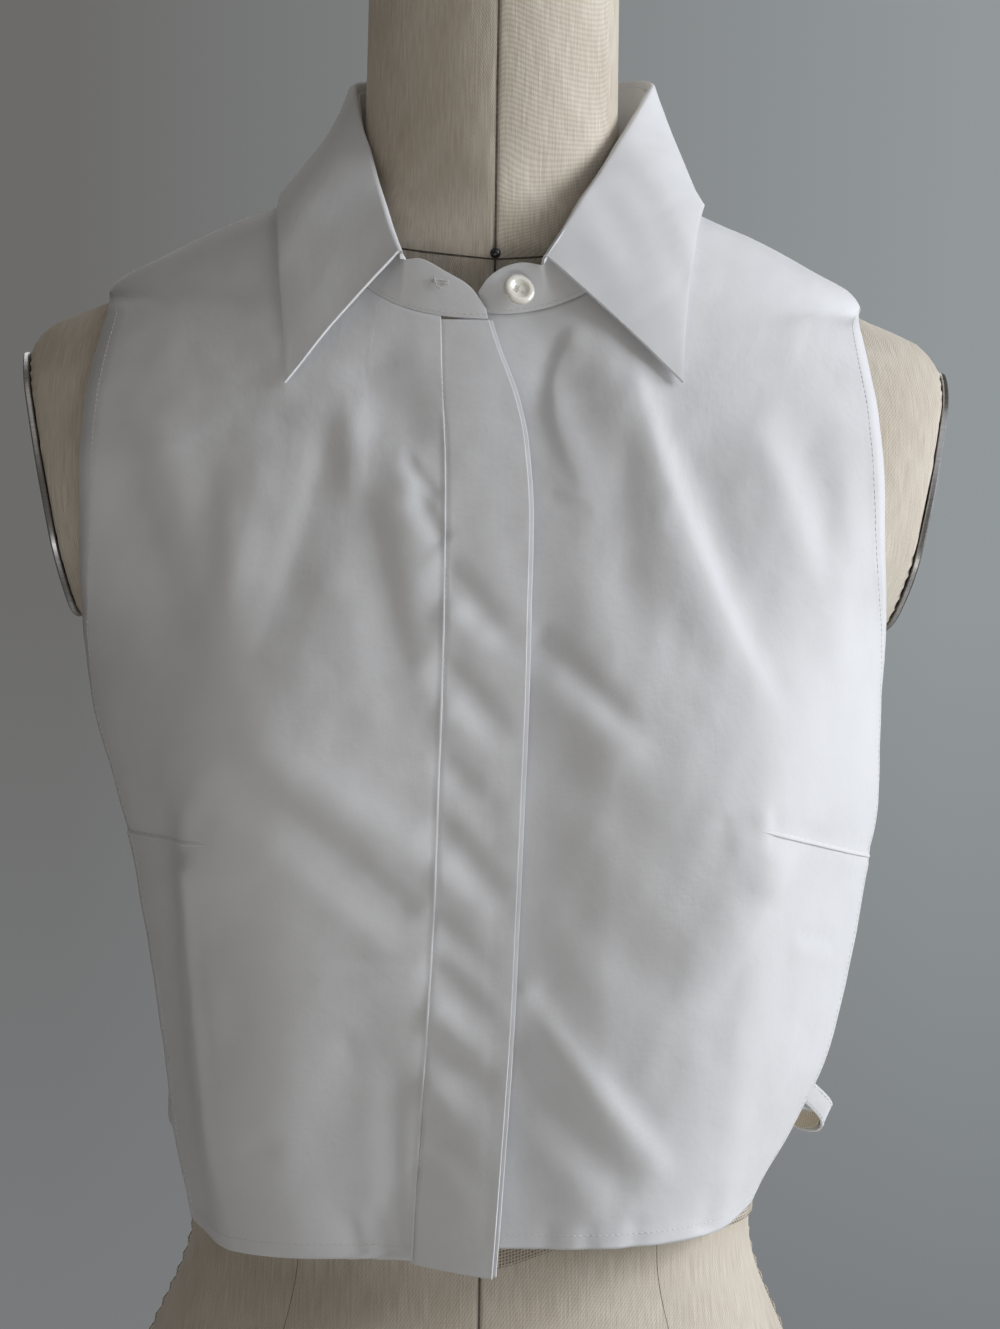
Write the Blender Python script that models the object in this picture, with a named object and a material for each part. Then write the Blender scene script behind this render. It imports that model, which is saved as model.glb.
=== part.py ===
"""A detachable shirt collar with its cropped bib (a dickey), worn on a limbless dress form.

Metres, +Z up. The form's flat base is at z = 0 under the origin and its chest faces -Y, so the
wearer's right is -X. Each cut piece of the cloth is a wall over a grid of points on its outer face.
The fronts and the back share one kind of surface: a stack of level superellipse sections, where
"turn" is the angle round the body, 0 at the centre line and 90 degrees at the side.
"""

import math
from bisect import bisect_right
from collections import namedtuple

import bmesh
import bpy

CLOTH = 0.0012  # wall of a panel, in the plain solids
STRIP = 0.0010  # wall of the outer placket strip and of a strap
UNDER_STRIP = 0.0008  # wall of the under placket strip
SEAM = 0.0005  # clear gap between two sewn pieces
REST_GAP = 0.0006  # clear gap between a fitting and the linen it lies on
QUARTER = math.pi / 2
WEARERS_RIGHT, WEARERS_LEFT = -1, 1

# --- the dress form -------------------------------------------------------------------------
FormRow = namedtuple("FormRow", "z half_width front back power")
FORM_ROWS = (
    FormRow(0.000, 0.1680, 0.1120, 0.1180, 2.2),
    FormRow(0.040, 0.1700, 0.1120, 0.1250, 2.2),
    FormRow(0.110, 0.1590, 0.1100, 0.1150, 2.2),
    FormRow(0.180, 0.1290, 0.1000, 0.0880, 2.1),
    FormRow(0.230, 0.1118, 0.0910, 0.0700, 2.1),
    FormRow(0.280, 0.1155, 0.0940, 0.0750, 2.1),
    FormRow(0.330, 0.1245, 0.1020, 0.0880, 2.2),
    FormRow(0.370, 0.1330, 0.1110, 0.0950, 2.3),
    FormRow(0.395, 0.1390, 0.1150, 0.0985, 2.3),
    FormRow(0.430, 0.1440, 0.1130, 0.1030, 2.3),
    FormRow(0.452, 0.1490, 0.1080, 0.1060, 2.3),
    FormRow(0.475, 0.1660, 0.1030, 0.1080, 2.3),
    FormRow(0.500, 0.1850, 0.0955, 0.1095, 2.3),
    FormRow(0.530, 0.1930, 0.0860, 0.1095, 2.3),
    FormRow(0.555, 0.1940, 0.0760, 0.1070, 2.2),
    FormRow(0.572, 0.1850, 0.0690, 0.1030, 2.05),
    FormRow(0.584, 0.1770, 0.0630, 0.0930, 1.65),
    FormRow(0.591, 0.1630, 0.0600, 0.0865, 1.40),
    FormRow(0.597, 0.1480, 0.0600, 0.0850, 1.40),
    FormRow(0.604, 0.1385, 0.0600, 0.0830, 1.45),
    FormRow(0.611, 0.1260, 0.0600, 0.0805, 1.6),
    FormRow(0.620, 0.1080, 0.0585, 0.0755, 1.5),
    FormRow(0.628, 0.0900, 0.0575, 0.0710, 1.45),
    FormRow(0.634, 0.0760, 0.0565, 0.0680, 1.45),
    FormRow(0.644, 0.0610, 0.0550, 0.0625, 1.6),
    FormRow(0.656, 0.0540, 0.0535, 0.0575, 1.9),
    FormRow(0.675, 0.0510, 0.0520, 0.0540, 2.0),
    FormRow(0.738, 0.0505, 0.0510, 0.0520, 2.0),
)
FORM_HEIGHT = 0.745
FORM_TOP_INSET = 0.006
FORM_SIDES = 44
# The arm openings are cut by a plane that leans in towards the waist.
ARM_PLANE_X, ARM_PLANE_Z, ARM_PLANE_SLOPE = 0.1800, 0.559, 0.214
ARM_PLANE_FOOT_Z = 0.430
ARM_PLATE_HEIGHT, ARM_PLATE_WIDTH, ARM_PLATE_WALL = 0.102, 0.080, 0.0024
ARM_PLATE_CENTRE_Y, ARM_PLATE_CENTRE_Z = 0.0060, 0.5225
ARM_PLATE_SIDES, ARM_PLATE_ROUND = 32, 0.0008
WAIST_Z, WAIST_TAPE_WIDTH, WAIST_TAPE_WALL = 0.2300, 0.0130, 0.0008
NECK_PIN_Z, NECK_PIN_HEAD = 0.6100, 0.0042

# --- the bib: level sections of the fronts and of the back ------------------------------------
FrontRow = namedtuple("FrontRow", "z depth power right_x left_x edge_y")
FRONT_ROWS = (
    FrontRow(0.2310, 0.1110, 2.30, 0.1085, 0.1020, 0.0470),
    FrontRow(0.2445, 0.1115, 2.30, 0.1115, 0.1066, 0.0470),
    FrontRow(0.2700, 0.1125, 2.30, 0.1182, 0.1220, 0.0430),
    FrontRow(0.3000, 0.1145, 2.30, 0.1234, 0.1368, 0.0400),
    FrontRow(0.3420, 0.1185, 2.30, 0.1303, 0.1469, 0.0380),
    FrontRow(0.3790, 0.1235, 2.35, 0.1370, 0.1529, 0.0370),
    FrontRow(0.4020, 0.1250, 2.40, 0.1430, 0.1562, 0.0370),
    FrontRow(0.4400, 0.1225, 2.40, 0.1524, 0.1560, 0.0380),
    FrontRow(0.4665, 0.1180, 2.35, 0.1557, 0.1555, 0.0490),
    FrontRow(0.4900, 0.1125, 2.30, 0.1562, 0.1525, 0.0650),
    FrontRow(0.5240, 0.1030, 2.20, 0.1566, 0.1506, 0.0700),
    FrontRow(0.5500, 0.0935, 2.10, 0.1559, 0.1498, 0.0600),
    FrontRow(0.5730, 0.0845, 2.00, 0.1530, 0.1475, 0.0450),
    FrontRow(0.5880, 0.0790, 1.85, 0.1505, 0.1465, 0.0310),
    FrontRow(0.5995, 0.0750, 1.75, 0.1525, 0.1510, 0.0000),
    FrontRow(0.6055, 0.0735, 1.70, 0.1470, 0.1470, 0.0000),
    FrontRow(0.6125, 0.0715, 1.70, 0.1338, 0.1338, 0.0000),
    FrontRow(0.6212, 0.0690, 1.70, 0.1175, 0.1175, 0.0000),
    FrontRow(0.6286, 0.0665, 1.70, 0.1013, 0.1013, 0.0000),
    FrontRow(0.6340, 0.0645, 1.70, 0.0853, 0.0853, 0.0000),
    FrontRow(0.6480, 0.0600, 1.70, 0.0660, 0.0660, 0.0000),
)
BackRow = namedtuple("BackRow", "z depth power edge_x edge_y")
BACK_ROWS = (
    BackRow(0.2360, 0.0880, 2.30, 0.1080, 0.0420),
    BackRow(0.2700, 0.0920, 2.30, 0.1160, 0.0420),
    BackRow(0.3000, 0.0960, 2.30, 0.1240, 0.0420),
    BackRow(0.3420, 0.1020, 2.30, 0.1340, 0.0420),
    BackRow(0.3900, 0.1080, 2.30, 0.1430, 0.0430),
    BackRow(0.4400, 0.1125, 2.30, 0.1480, 0.0480),
    BackRow(0.4665, 0.1150, 2.30, 0.1520, 0.0580),
    BackRow(0.4900, 0.1165, 2.30, 0.1550, 0.0700),
    BackRow(0.5240, 0.1170, 2.30, 0.1560, 0.0800),
    BackRow(0.5500, 0.1155, 2.20, 0.1550, 0.0760),
    BackRow(0.5730, 0.1110, 2.05, 0.1520, 0.0640),
    BackRow(0.5880, 0.1065, 1.90, 0.1500, 0.0440),
    BackRow(0.5995, 0.1000, 1.75, 0.1515, 0.0000),
    BackRow(0.6055, 0.0960, 1.70, 0.1470, 0.0000),
    BackRow(0.6125, 0.0915, 1.70, 0.1338, 0.0000),
    BackRow(0.6212, 0.0860, 1.70, 0.1175, 0.0000),
    BackRow(0.6286, 0.0810, 1.70, 0.1013, 0.0000),
    BackRow(0.6340, 0.0775, 1.70, 0.0853, 0.0000),
    BackRow(0.6480, 0.0690, 1.70, 0.0660, 0.0000),
    BackRow(0.6600, 0.0625, 1.90, 0.0560, 0.0000),
)
SHOULDER_TIP_Z = 0.5995
SIDE_NECK_X, SIDE_NECK_Z = 0.0660, 0.6480
BACK_NECK_Z = 0.6600
# The front neck seam is a superellipse from the centre up to the side of the neck.
NECK_FRONT_Z = {WEARERS_RIGHT: 0.5825, WEARERS_LEFT: 0.5850}
NECK_POWER = {WEARERS_RIGHT: 2.8, WEARERS_LEFT: 2.0}
HEM_CENTRE_Z = {WEARERS_RIGHT: 0.2320, WEARERS_LEFT: 0.2365}
HEM_SIDE_Z = {WEARERS_RIGHT: 0.2360, WEARERS_LEFT: 0.2440}
BACK_HEM_Z = 0.2400
LEFT_FRONT_CENTRE_X = -0.0150  # hidden edge of the under layer
OVERLAP_DROP = 0.0050  # the under layer lies this far below the outer one at the centre
OVERLAP_LOW_X, OVERLAP_FREE_X = 0.0120, 0.0450  # it rises to the outer level between these
# A panel's columns run from the hem to the neck seam, and its rungs from the centre to its side
# border, which is the free edge up to the shoulder tip and then the shoulder seam.
FRONT_COLUMNS, FRONT_RUNGS, FRONT_TIP_RUNG = 18, 24, 18
BACK_COLUMNS, BACK_RUNGS, BACK_TIP_RUNG = 22, 21, 16
RUNG_CROWDING = 1.3
BORDER_SAMPLES = 120

# --- the fly placket on the wearer's right front ---------------------------------------------
PlacketRow = namedtuple("PlacketRow", "z stitch_x edge_x")
PLACKET_ROWS = (
    PlacketRow(0.2270, -0.0256, 0.0031),
    PlacketRow(0.2557, -0.0247, 0.0049),
    PlacketRow(0.2927, -0.0228, 0.0072),
    PlacketRow(0.3293, -0.0210, 0.0090),
    PlacketRow(0.3668, -0.0197, 0.0098),
    PlacketRow(0.4031, -0.0192, 0.0106),
    PlacketRow(0.4394, -0.0185, 0.0116),
    PlacketRow(0.4757, -0.0181, 0.0122),
    PlacketRow(0.5060, -0.0181, 0.0128),
    PlacketRow(0.5357, -0.0185, 0.0108),
    PlacketRow(0.5518, -0.0198, 0.0075),
    PlacketRow(0.5723, -0.0204, 0.0003),
    PlacketRow(0.5830, -0.0207, -0.0030),
)
PLACKET_FOOT_Z, PLACKET_TOP_Z = 0.2290, 0.5822
UNDER_STRIP_DROP = 0.0014
UNDER_STRIP_REACH = 0.0015  # how far the under strip's fold shows past the outer one's
PLACKET_COLUMNS, PLACKET_RUNGS = 3, 24
FLY_BUTTON_Z = (0.520, 0.445, 0.370, 0.295)
FLY_BUTTON_SIZE = 0.0100
FLY_BUTTON_WALL, FLY_BUTTON_SIDES = 0.0009, 12
FLY_BUTTON_X, FLY_BUTTON_DROP = -0.0040, 0.0036

# --- the collar ---------------------------------------------------------------------------
# One row for each station from the front corner of the leaf (first) to the centre back (last).
# "seam" is how far along the neck seam the stand below it starts: 0 at its front end, 1 at the back.
CollarRow = namedtuple("CollarRow", "seam fold_x fold_y fold_z edge_x edge_y edge_z belly")
COLLAR_ROWS = {
    WEARERS_RIGHT: (
        CollarRow(0.161, 0.0352, -0.0760, 0.6085, 0.0791, -0.0868, 0.5565, 0.0010),
        CollarRow(0.300, 0.0395, -0.0650, 0.6205, 0.0803, -0.0785, 0.5755, 0.0025),
        CollarRow(0.400, 0.0440, -0.0480, 0.6370, 0.0823, -0.0655, 0.5975, 0.0035),
        CollarRow(0.460, 0.0478, -0.0335, 0.6520, 0.0838, -0.0535, 0.6150, 0.0030),
        CollarRow(0.510, 0.0512, -0.0195, 0.6650, 0.0848, -0.0360, 0.6295, 0.0015),
        CollarRow(0.560, 0.0540, -0.0020, 0.6790, 0.0850, -0.0110, 0.6385, -0.0010),
        CollarRow(0.640, 0.0550, 0.0150, 0.6875, 0.0815, 0.0230, 0.6430, -0.0020),
        CollarRow(0.755, 0.0470, 0.0400, 0.6950, 0.0680, 0.0580, 0.6460, 0.0000),
        CollarRow(0.880, 0.0250, 0.0590, 0.6990, 0.0370, 0.0770, 0.6480, 0.0010),
        CollarRow(1.000, 0.0000, 0.0650, 0.7005, 0.0000, 0.0820, 0.6490, 0.0010),
    ),
    WEARERS_LEFT: (
        CollarRow(0.109, 0.0170, -0.0760, 0.6077, 0.0708, -0.0866, 0.5599, 0.0010),
        CollarRow(0.224, 0.0245, -0.0700, 0.6200, 0.0722, -0.0787, 0.5775, 0.0025),
        CollarRow(0.336, 0.0352, -0.0540, 0.6380, 0.0745, -0.0675, 0.5965, 0.0035),
        CollarRow(0.411, 0.0430, -0.0410, 0.6510, 0.0772, -0.0575, 0.6120, 0.0030),
        CollarRow(0.473, 0.0505, -0.0270, 0.6640, 0.0805, -0.0425, 0.6265, 0.0015),
        CollarRow(0.560, 0.0588, -0.0030, 0.6800, 0.0858, -0.0120, 0.6390, 0.0000),
        CollarRow(0.650, 0.0650, 0.0200, 0.6930, 0.0868, 0.0240, 0.6430, 0.0000),
        CollarRow(0.760, 0.0600, 0.0430, 0.6985, 0.0740, 0.0580, 0.6460, 0.0000),
        CollarRow(0.880, 0.0345, 0.0600, 0.7000, 0.0410, 0.0775, 0.6480, 0.0010),
        CollarRow(1.000, 0.0000, 0.0650, 0.7005, 0.0000, 0.0820, 0.6490, 0.0010),
    ),
}
# The stand's two ends run on past the leaf: the wearer's right one crosses over the left one.
BandRow = namedtuple("BandRow", "seam_x top_x top_y top_z")
BAND_ROWS = {
    WEARERS_RIGHT: (
        BandRow(-0.0030, -0.0036, -0.0800, 0.5862),
        BandRow(-0.0095, -0.0099, -0.0798, 0.5947),
        BandRow(-0.0195, -0.0195, -0.0790, 0.6005),
        BandRow(-0.0285, -0.0285, -0.0775, 0.6052),
    ),
    WEARERS_LEFT: (
        BandRow(-0.0050, -0.0068, -0.0748, 0.5935),
        BandRow(-0.0015, -0.0030, -0.0748, 0.5990),
        BandRow(0.0045, 0.0025, -0.0748, 0.6030),
        BandRow(0.0120, 0.0095, -0.0750, 0.6050),
    ),
}
FOLD_LIP = 0.0035  # the leaf's own edge turns down this far inside the fold
FOLD_ROUND, FOLD_DROP = 0.0022, 0.0012  # how far out and down the fold's round outer corner lies
STAND_WALL = 0.0014
STAND_GAP = 0.0009  # between the stand's foot and the panels' neck edge, along the stand
FRONT_SEAM_SHARE = 0.56  # the front's part of half the neck seam
STAND_RUNGS, FALL_RUNGS = 3, 7
COLLAR_STATIONS = 20  # stations of each half of the leaf
CORNER_CLEAR = 0.01  # the stand skips a panel's column that meets the seam this close to the corner

# --- buttons and side straps --------------------------------------------------------------
BUTTON_SIZE, BUTTON_WALL, BUTTON_SIDES = 0.0125, 0.0024, 20
BUTTON_ROUND_SHARE = 0.3  # of its wall, the softened part of its rim
BUTTON_PLACE = (0.0086, -0.0795, 0.5942)
BUTTON_TILT, BUTTON_TURN = math.radians(-20), math.radians(20)
StrapRow = namedtuple("StrapRow", "x y z")
STRAP_WIDTH = 0.0090
# The wearer's left strap stands out as a loop, then doubles back to the rear panel.
LEFT_STRAP = (
    StrapRow(0.1225, -0.0365, 0.2800),
    StrapRow(0.1290, -0.0300, 0.2810),
    StrapRow(0.1370, -0.0220, 0.2800),
    StrapRow(0.1400, -0.0120, 0.2775),
    StrapRow(0.1360, -0.0030, 0.2750),
    StrapRow(0.1300, 0.0060, 0.2740),
    StrapRow(0.1245, 0.0200, 0.2740),
    StrapRow(0.1200, 0.0345, 0.2740),
)
RIGHT_STRAP = (
    StrapRow(0.1190, -0.0385, 0.2740),
    StrapRow(0.1215, -0.0200, 0.2740),
    StrapRow(0.1225, 0.0000, 0.2740),
    StrapRow(0.1215, 0.0200, 0.2740),
    StrapRow(0.1180, 0.0360, 0.2740),
)
STRAP_STEPS = 3  # points added between two rows
SLIDER_PLACE = (0.1303, 0.0088, 0.2740)
SLIDER_SIZE = (0.0016, 0.0085, 0.0125)
SLIDER_TURN = math.radians(22)


# --- curves through a table -----------------------------------------------------------------
def smooth_column(rows, column, key="z"):
    """The named column as a smooth function of the key one, never overshooting between rows."""
    levels = [getattr(row, key) for row in rows]
    values = [getattr(row, column) for row in rows]
    steps = [b - a for a, b in zip(levels, levels[1:])]
    rates = [(b - a) / h for a, b, h in zip(values, values[1:], steps)]
    slopes = [rates[0]]
    for left, right in zip(rates, rates[1:]):
        slopes.append(0.0 if left * right <= 0 else 2 * left * right / (left + right))
    slopes.append(rates[-1])

    def value(at):
        i = min(max(bisect_right(levels, at) - 1, 0), len(steps) - 1)
        t = min(max((at - levels[i]) / steps[i], 0.0), 1.0)
        return hermite(values[i], values[i + 1], slopes[i] * steps[i], slopes[i + 1] * steps[i], t)

    return value


def hermite(a, b, slope_a, slope_b, t):
    left = (1 + 2 * t) * (1 - t) ** 2 * a + t * (1 - t) ** 2 * slope_a
    return left + t * t * (3 - 2 * t) * b + t * t * (t - 1) * slope_b


def along(points, position):
    """The point at position (0 .. 1) of a smooth curve through points of any dimension."""
    place = position * (len(points) - 1)
    i = min(int(place), len(points) - 2)
    before, after = max(i - 1, 0), min(i + 2, len(points) - 1)
    curve = []
    for p, a, b, n in zip(points[before], points[i], points[i + 1], points[after]):
        slope_a = (b - p) / (i + 1 - before)
        slope_b = (n - a) / (after - i)
        curve.append(hermite(a, b, slope_a, slope_b, place - i))
    return tuple(curve)


def mix(a, b, t):
    return tuple(p + (q - p) * t for p, q in zip(a, b))


def smooth_step(low, high, value):
    t = min(max((value - low) / (high - low), 0.0), 1.0)
    return t * t * (3 - 2 * t)


def signed_power(base, exponent):
    return math.copysign(abs(base) ** exponent, base)


# --- the surface of the bib ---------------------------------------------------------------
class Surface:
    """Level superellipse sections; facing is -1 for the fronts and +1 for the back."""

    def __init__(self, rows, edge_column, side, facing):
        self.edge_x = smooth_column(rows, edge_column)
        self.edge_y = smooth_column(rows, "edge_y")
        self.depth = smooth_column(rows, "depth")
        self.power = smooth_column(rows, "power")
        self.side = side
        self.facing = facing

    def half_width(self, z):
        power = self.power(z)
        inset = (self.edge_y(z) / self.depth(z)) ** power
        return self.edge_x(z) / (1 - inset) ** (1 / power)

    def edge_turn(self, z):
        return math.acos((self.edge_y(z) / self.depth(z)) ** (self.power(z) / 2))

    def turn_at(self, x, z):
        """The turn of the point at x; x is positive towards this side."""
        ratio = max(-1.0, min(1.0, x / self.half_width(z)))
        return math.asin(signed_power(ratio, self.power(z) / 2))

    def share_at(self, x, z):
        """How far x lies from the centre line (0) to the side border (1), by turn."""
        return self.turn_at(x, z) / self.edge_turn(z)

    def at_share(self, share, z, drop=0.0):
        return self.point(share * self.edge_turn(z), z, drop)

    def point(self, turn, z, drop=0.0):
        power = 2 / self.power(z)
        x = self.half_width(z) * signed_power(math.sin(turn), power)
        y = (self.depth(z) - drop) * max(math.cos(turn), 0.0) ** power
        return (self.side * x, self.facing * y, z)


def front_surface(side):
    column = "right_x" if side == WEARERS_RIGHT else "left_x"
    return Surface(FRONT_ROWS, column, side, -1)


def neck_angle(side, x):
    """The parameter of the front neck seam where it passes x: 0 at the centre."""
    return math.asin(signed_power(x / SIDE_NECK_X, NECK_POWER[side] / 2))


def neck_turn(side, surface, angle):
    """(turn, z) of the front neck seam at its parameter, 90 degrees at the side of the neck."""
    power = NECK_POWER[side]
    x = SIDE_NECK_X * signed_power(math.sin(angle), 2 / power)
    rise = 1 - max(math.cos(angle), 0.0) ** (2 / power)
    z = NECK_FRONT_Z[side] + (SIDE_NECK_Z - NECK_FRONT_Z[side]) * rise
    return (surface.turn_at(x, z), z)


def back_neck_turn(share):
    """(turn, z) at a share of half the back neck seam, from the centre back to the side."""
    return (QUARTER * share, BACK_NECK_Z + (SIDE_NECK_Z - BACK_NECK_Z) * share**2)


def border_levels(surface, hem_z, tip_rung, rungs):
    """Heights of the rungs on the side border. Up to the shoulder tip they divide its length, and
    draw together towards the tip; above it they divide the shoulder seam's height."""
    samples = [hem_z + (SHOULDER_TIP_Z - hem_z) * k / BORDER_SAMPLES for k in range(BORDER_SAMPLES + 1)]
    points = [surface.at_share(1.0, z) for z in samples]
    lengths = [0.0]
    for a, b in zip(points, points[1:]):
        lengths.append(lengths[-1] + math.dist(a, b))
    levels = []
    for k in range(tip_rung):
        wanted = lengths[-1] * (1 - (1 - k / tip_rung) ** RUNG_CROWDING)
        i = bisect_right(lengths, wanted) - 1
        part = (wanted - lengths[i]) / (lengths[i + 1] - lengths[i])
        levels.append(samples[i] + (samples[i + 1] - samples[i]) * part)
    seam_steps = rungs - tip_rung
    rise = SIDE_NECK_Z - SHOULDER_TIP_Z
    return levels + [SHOULDER_TIP_Z + rise * k / seam_steps for k in range(seam_steps + 1)]


def patch(bottom, top, start, end, columns, rungs):
    """A grid of (share, z) inside four border functions of 0 .. 1, blended from all of them."""
    corners = (bottom(0.0), bottom(1.0), top(0.0), top(1.0))
    grid = []
    for j in range(rungs + 1):
        v = j / rungs
        row = []
        for i in range(columns + 1):
            u = i / columns
            across = mix(bottom(u), top(u), v)
            up = mix(start(v), end(v), u)
            twice = mix(mix(corners[0], corners[1], u), mix(corners[2], corners[3], u), v)
            row.append(tuple(a + b - c for a, b, c in zip(across, up, twice)))
        grid.append(row)
    return grid


def front_grid(side, surface, centre_x):
    """The (share, z) grid of one front; centre_x gives its centre edge at a height."""
    hem_centre, hem_side, neck = HEM_CENTRE_Z[side], HEM_SIDE_Z[side], NECK_FRONT_Z[side]
    first_angle = neck_angle(side, centre_x(neck))
    levels = border_levels(surface, hem_side, FRONT_TIP_RUNG, FRONT_RUNGS)

    def hem(u):
        first = surface.share_at(centre_x(hem_centre), hem_centre)
        return (first + (1 - first) * u, hem_centre + (hem_side - hem_centre) * u**3)

    def top(u):
        turn, z = neck_turn(side, surface, first_angle + (QUARTER - first_angle) * u)
        return (turn / surface.edge_turn(z), z)

    def centre(v):
        z = hem_centre + (top(0.0)[1] - hem_centre) * v
        return (surface.share_at(centre_x(z), z), z)

    def edge(v):
        return (1.0, levels[round(v * FRONT_RUNGS)])

    return patch(hem, top, centre, edge, FRONT_COLUMNS, FRONT_RUNGS)


def placket_line(column):
    return smooth_column(PLACKET_ROWS, column)


# --- meshes -----------------------------------------------------------------------------------
def material(name, colour, roughness, metallic=0.0):
    found = bpy.data.materials.get(name)
    if found:
        return found
    made = bpy.data.materials.new(name)
    made.use_nodes = True
    shader = made.node_tree.nodes["Principled BSDF"]
    shader.inputs["Base Color"].default_value = (*colour, 1.0)
    shader.inputs["Roughness"].default_value = roughness
    shader.inputs["Metallic"].default_value = metallic
    return made


def cotton():
    return material("white_poplin", (0.80, 0.80, 0.82), 0.80)


def linen():
    return material("natural_linen", (0.58, 0.52, 0.45), 0.90)


def new_object(name, build, finish):
    """An object from a bmesh that build fills in."""
    mesh = bpy.data.meshes.new(name)
    shape = bmesh.new()
    build(shape)
    bmesh.ops.recalc_face_normals(shape, faces=shape.faces)
    shape.to_mesh(mesh)
    shape.free()
    mesh.shade_smooth()
    mesh.set_sharp_from_angle(angle=math.radians(40))
    mesh.materials.append(finish)
    made = bpy.data.objects.new(name, mesh)
    bpy.context.scene.collection.objects.link(made)
    return made


def sheet_object(name, grid, thickness, finish):
    """A cloth wall: grid is its outer face, as rows of points, and the wall goes inwards."""

    def build(shape):
        verts = [[shape.verts.new(point) for point in row] for row in grid]
        for low, high in zip(verts, verts[1:]):
            for i in range(len(low) - 1):
                shape.faces.new((low[i], low[i + 1], high[i + 1], high[i]))

    made = new_object(name, build, finish)
    face_outwards(made)
    wall = made.modifiers.new("wall", "SOLIDIFY")
    wall.thickness = thickness
    wall.offset = -1.0
    return made


def face_outwards(made):
    """Turns an open sheet so that its normals point away from the body's axis."""
    lean = 0.0
    for face in made.data.polygons:
        lean += face.area * (face.normal.x * face.center.x + face.normal.y * face.center.y)
    if lean < 0:
        made.data.flip_normals()


def closed_loft(shape, rings):
    """Bridges rings of equal length and caps both ends."""
    verts = [[shape.verts.new(point) for point in ring] for ring in rings]
    count = len(verts[0])
    for low, high in zip(verts, verts[1:]):
        for i in range(count):
            j = (i + 1) % count
            shape.faces.new((low[i], low[j], high[j], high[i]))
    shape.faces.new(list(reversed(verts[0])))
    shape.faces.new(verts[-1])


# --- the dress form ---------------------------------------------------------------------------
def form_reader():
    columns = ("half_width", "front", "back", "power")
    return {column: smooth_column(FORM_ROWS, column) for column in columns}


def form_point(read, angle, z, proud=0.0):
    """A point on the torso; angle runs round it from the centre front."""
    power = 2 / read["power"](z)
    depth = read["front"](z) if math.cos(angle) > 0 else read["back"](z)
    x = (read["half_width"](z) + proud) * signed_power(math.sin(angle), power)
    y = -(depth + proud) * signed_power(math.cos(angle), power)
    limit = arm_plane_x(z)
    return (max(-limit, min(limit, x)), y, z)


def arm_plane_x(z):
    """Where the arm openings cut the torso, at half its width."""
    return ARM_PLANE_X + ARM_PLANE_SLOPE * (z - ARM_PLANE_Z) if z > ARM_PLANE_FOOT_Z else math.inf


def form_ring(read, z, inset=0.0):
    return [form_point(read, 2 * math.pi * i / FORM_SIDES, z, -inset) for i in range(FORM_SIDES)]


def make_dress_form():
    read = form_reader()
    tape_edges = [WAIST_Z - WAIST_TAPE_WIDTH / 2, WAIST_Z + WAIST_TAPE_WIDTH / 2]
    levels = sorted([row.z for row in FORM_ROWS if row.z != WAIST_Z] + tape_edges)

    def build(shape):
        rings = [form_ring(read, z) for z in levels]
        cap = [(x, y, FORM_HEIGHT) for x, y, _ in form_ring(read, levels[-1], FORM_TOP_INSET)]
        closed_loft(shape, rings + [cap])

    return new_object("dress_form", build, linen())


def make_arm_plate(side):
    """A steel oval screwed over the arm opening, a little proud of the linen."""
    steel = material("brushed_steel", (0.55, 0.55, 0.56), 0.35, 1.0)
    lean = math.atan(ARM_PLANE_SLOPE)

    def build(shape):
        rings = []
        for out in (REST_GAP, REST_GAP + ARM_PLATE_WALL):
            ring = []
            for i in range(ARM_PLATE_SIDES):
                angle = 2 * math.pi * i / ARM_PLATE_SIDES
                across = ARM_PLATE_WIDTH / 2 * math.cos(angle)
                up = ARM_PLATE_HEIGHT / 2 * math.sin(angle)
                z = ARM_PLATE_CENTRE_Z + up * math.cos(lean) - out * math.sin(lean)
                x = ARM_PLANE_X + ARM_PLANE_SLOPE * (ARM_PLATE_CENTRE_Z - ARM_PLANE_Z)
                x += up * math.sin(lean) + out * math.cos(lean)
                ring.append((side * x, ARM_PLATE_CENTRE_Y + across, z))
            rings.append(ring)
        closed_loft(shape, rings)

    name = "arm_plate_right" if side == WEARERS_RIGHT else "arm_plate_left"
    made = new_object(name, build, steel)
    rounding = made.modifiers.new("rim", "BEVEL")
    rounding.width = ARM_PLATE_ROUND
    rounding.segments = 2
    rounding.limit_method = "ANGLE"
    return made


def make_waist_tape():
    """A woven band round the waist."""
    read = form_reader()
    tape = material("waist_tape", (0.62, 0.57, 0.50), 0.95)

    def build(shape):
        low, high = WAIST_Z - WAIST_TAPE_WIDTH / 2, WAIST_Z + WAIST_TAPE_WIDTH / 2
        loops = []
        for z, proud in ((low, 0), (high, 0), (high, WAIST_TAPE_WALL), (low, WAIST_TAPE_WALL)):
            ring = []
            for i in range(FORM_SIDES):
                x, y, _ = form_point(read, 2 * math.pi * i / FORM_SIDES, z, REST_GAP + proud)
                ring.append(shape.verts.new((x, y, z)))
            loops.append(ring)
        for a, b in zip(loops, loops[1:] + loops[:1]):
            for i in range(FORM_SIDES):
                j = (i + 1) % FORM_SIDES
                shape.faces.new((a[i], a[j], b[j], b[i]))

    return new_object("waist_tape", build, tape)


def make_neck_pin():
    read = form_reader()
    dark = material("dark_pin", (0.06, 0.055, 0.05), 0.45)

    def build(shape):
        bmesh.ops.create_uvsphere(shape, u_segments=12, v_segments=8, radius=NECK_PIN_HEAD / 2)

    made = new_object("neck_pin", build, dark)
    made.location = (0.0, -read["front"](NECK_PIN_Z) - NECK_PIN_HEAD / 2 - REST_GAP, NECK_PIN_Z)
    return made


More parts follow.
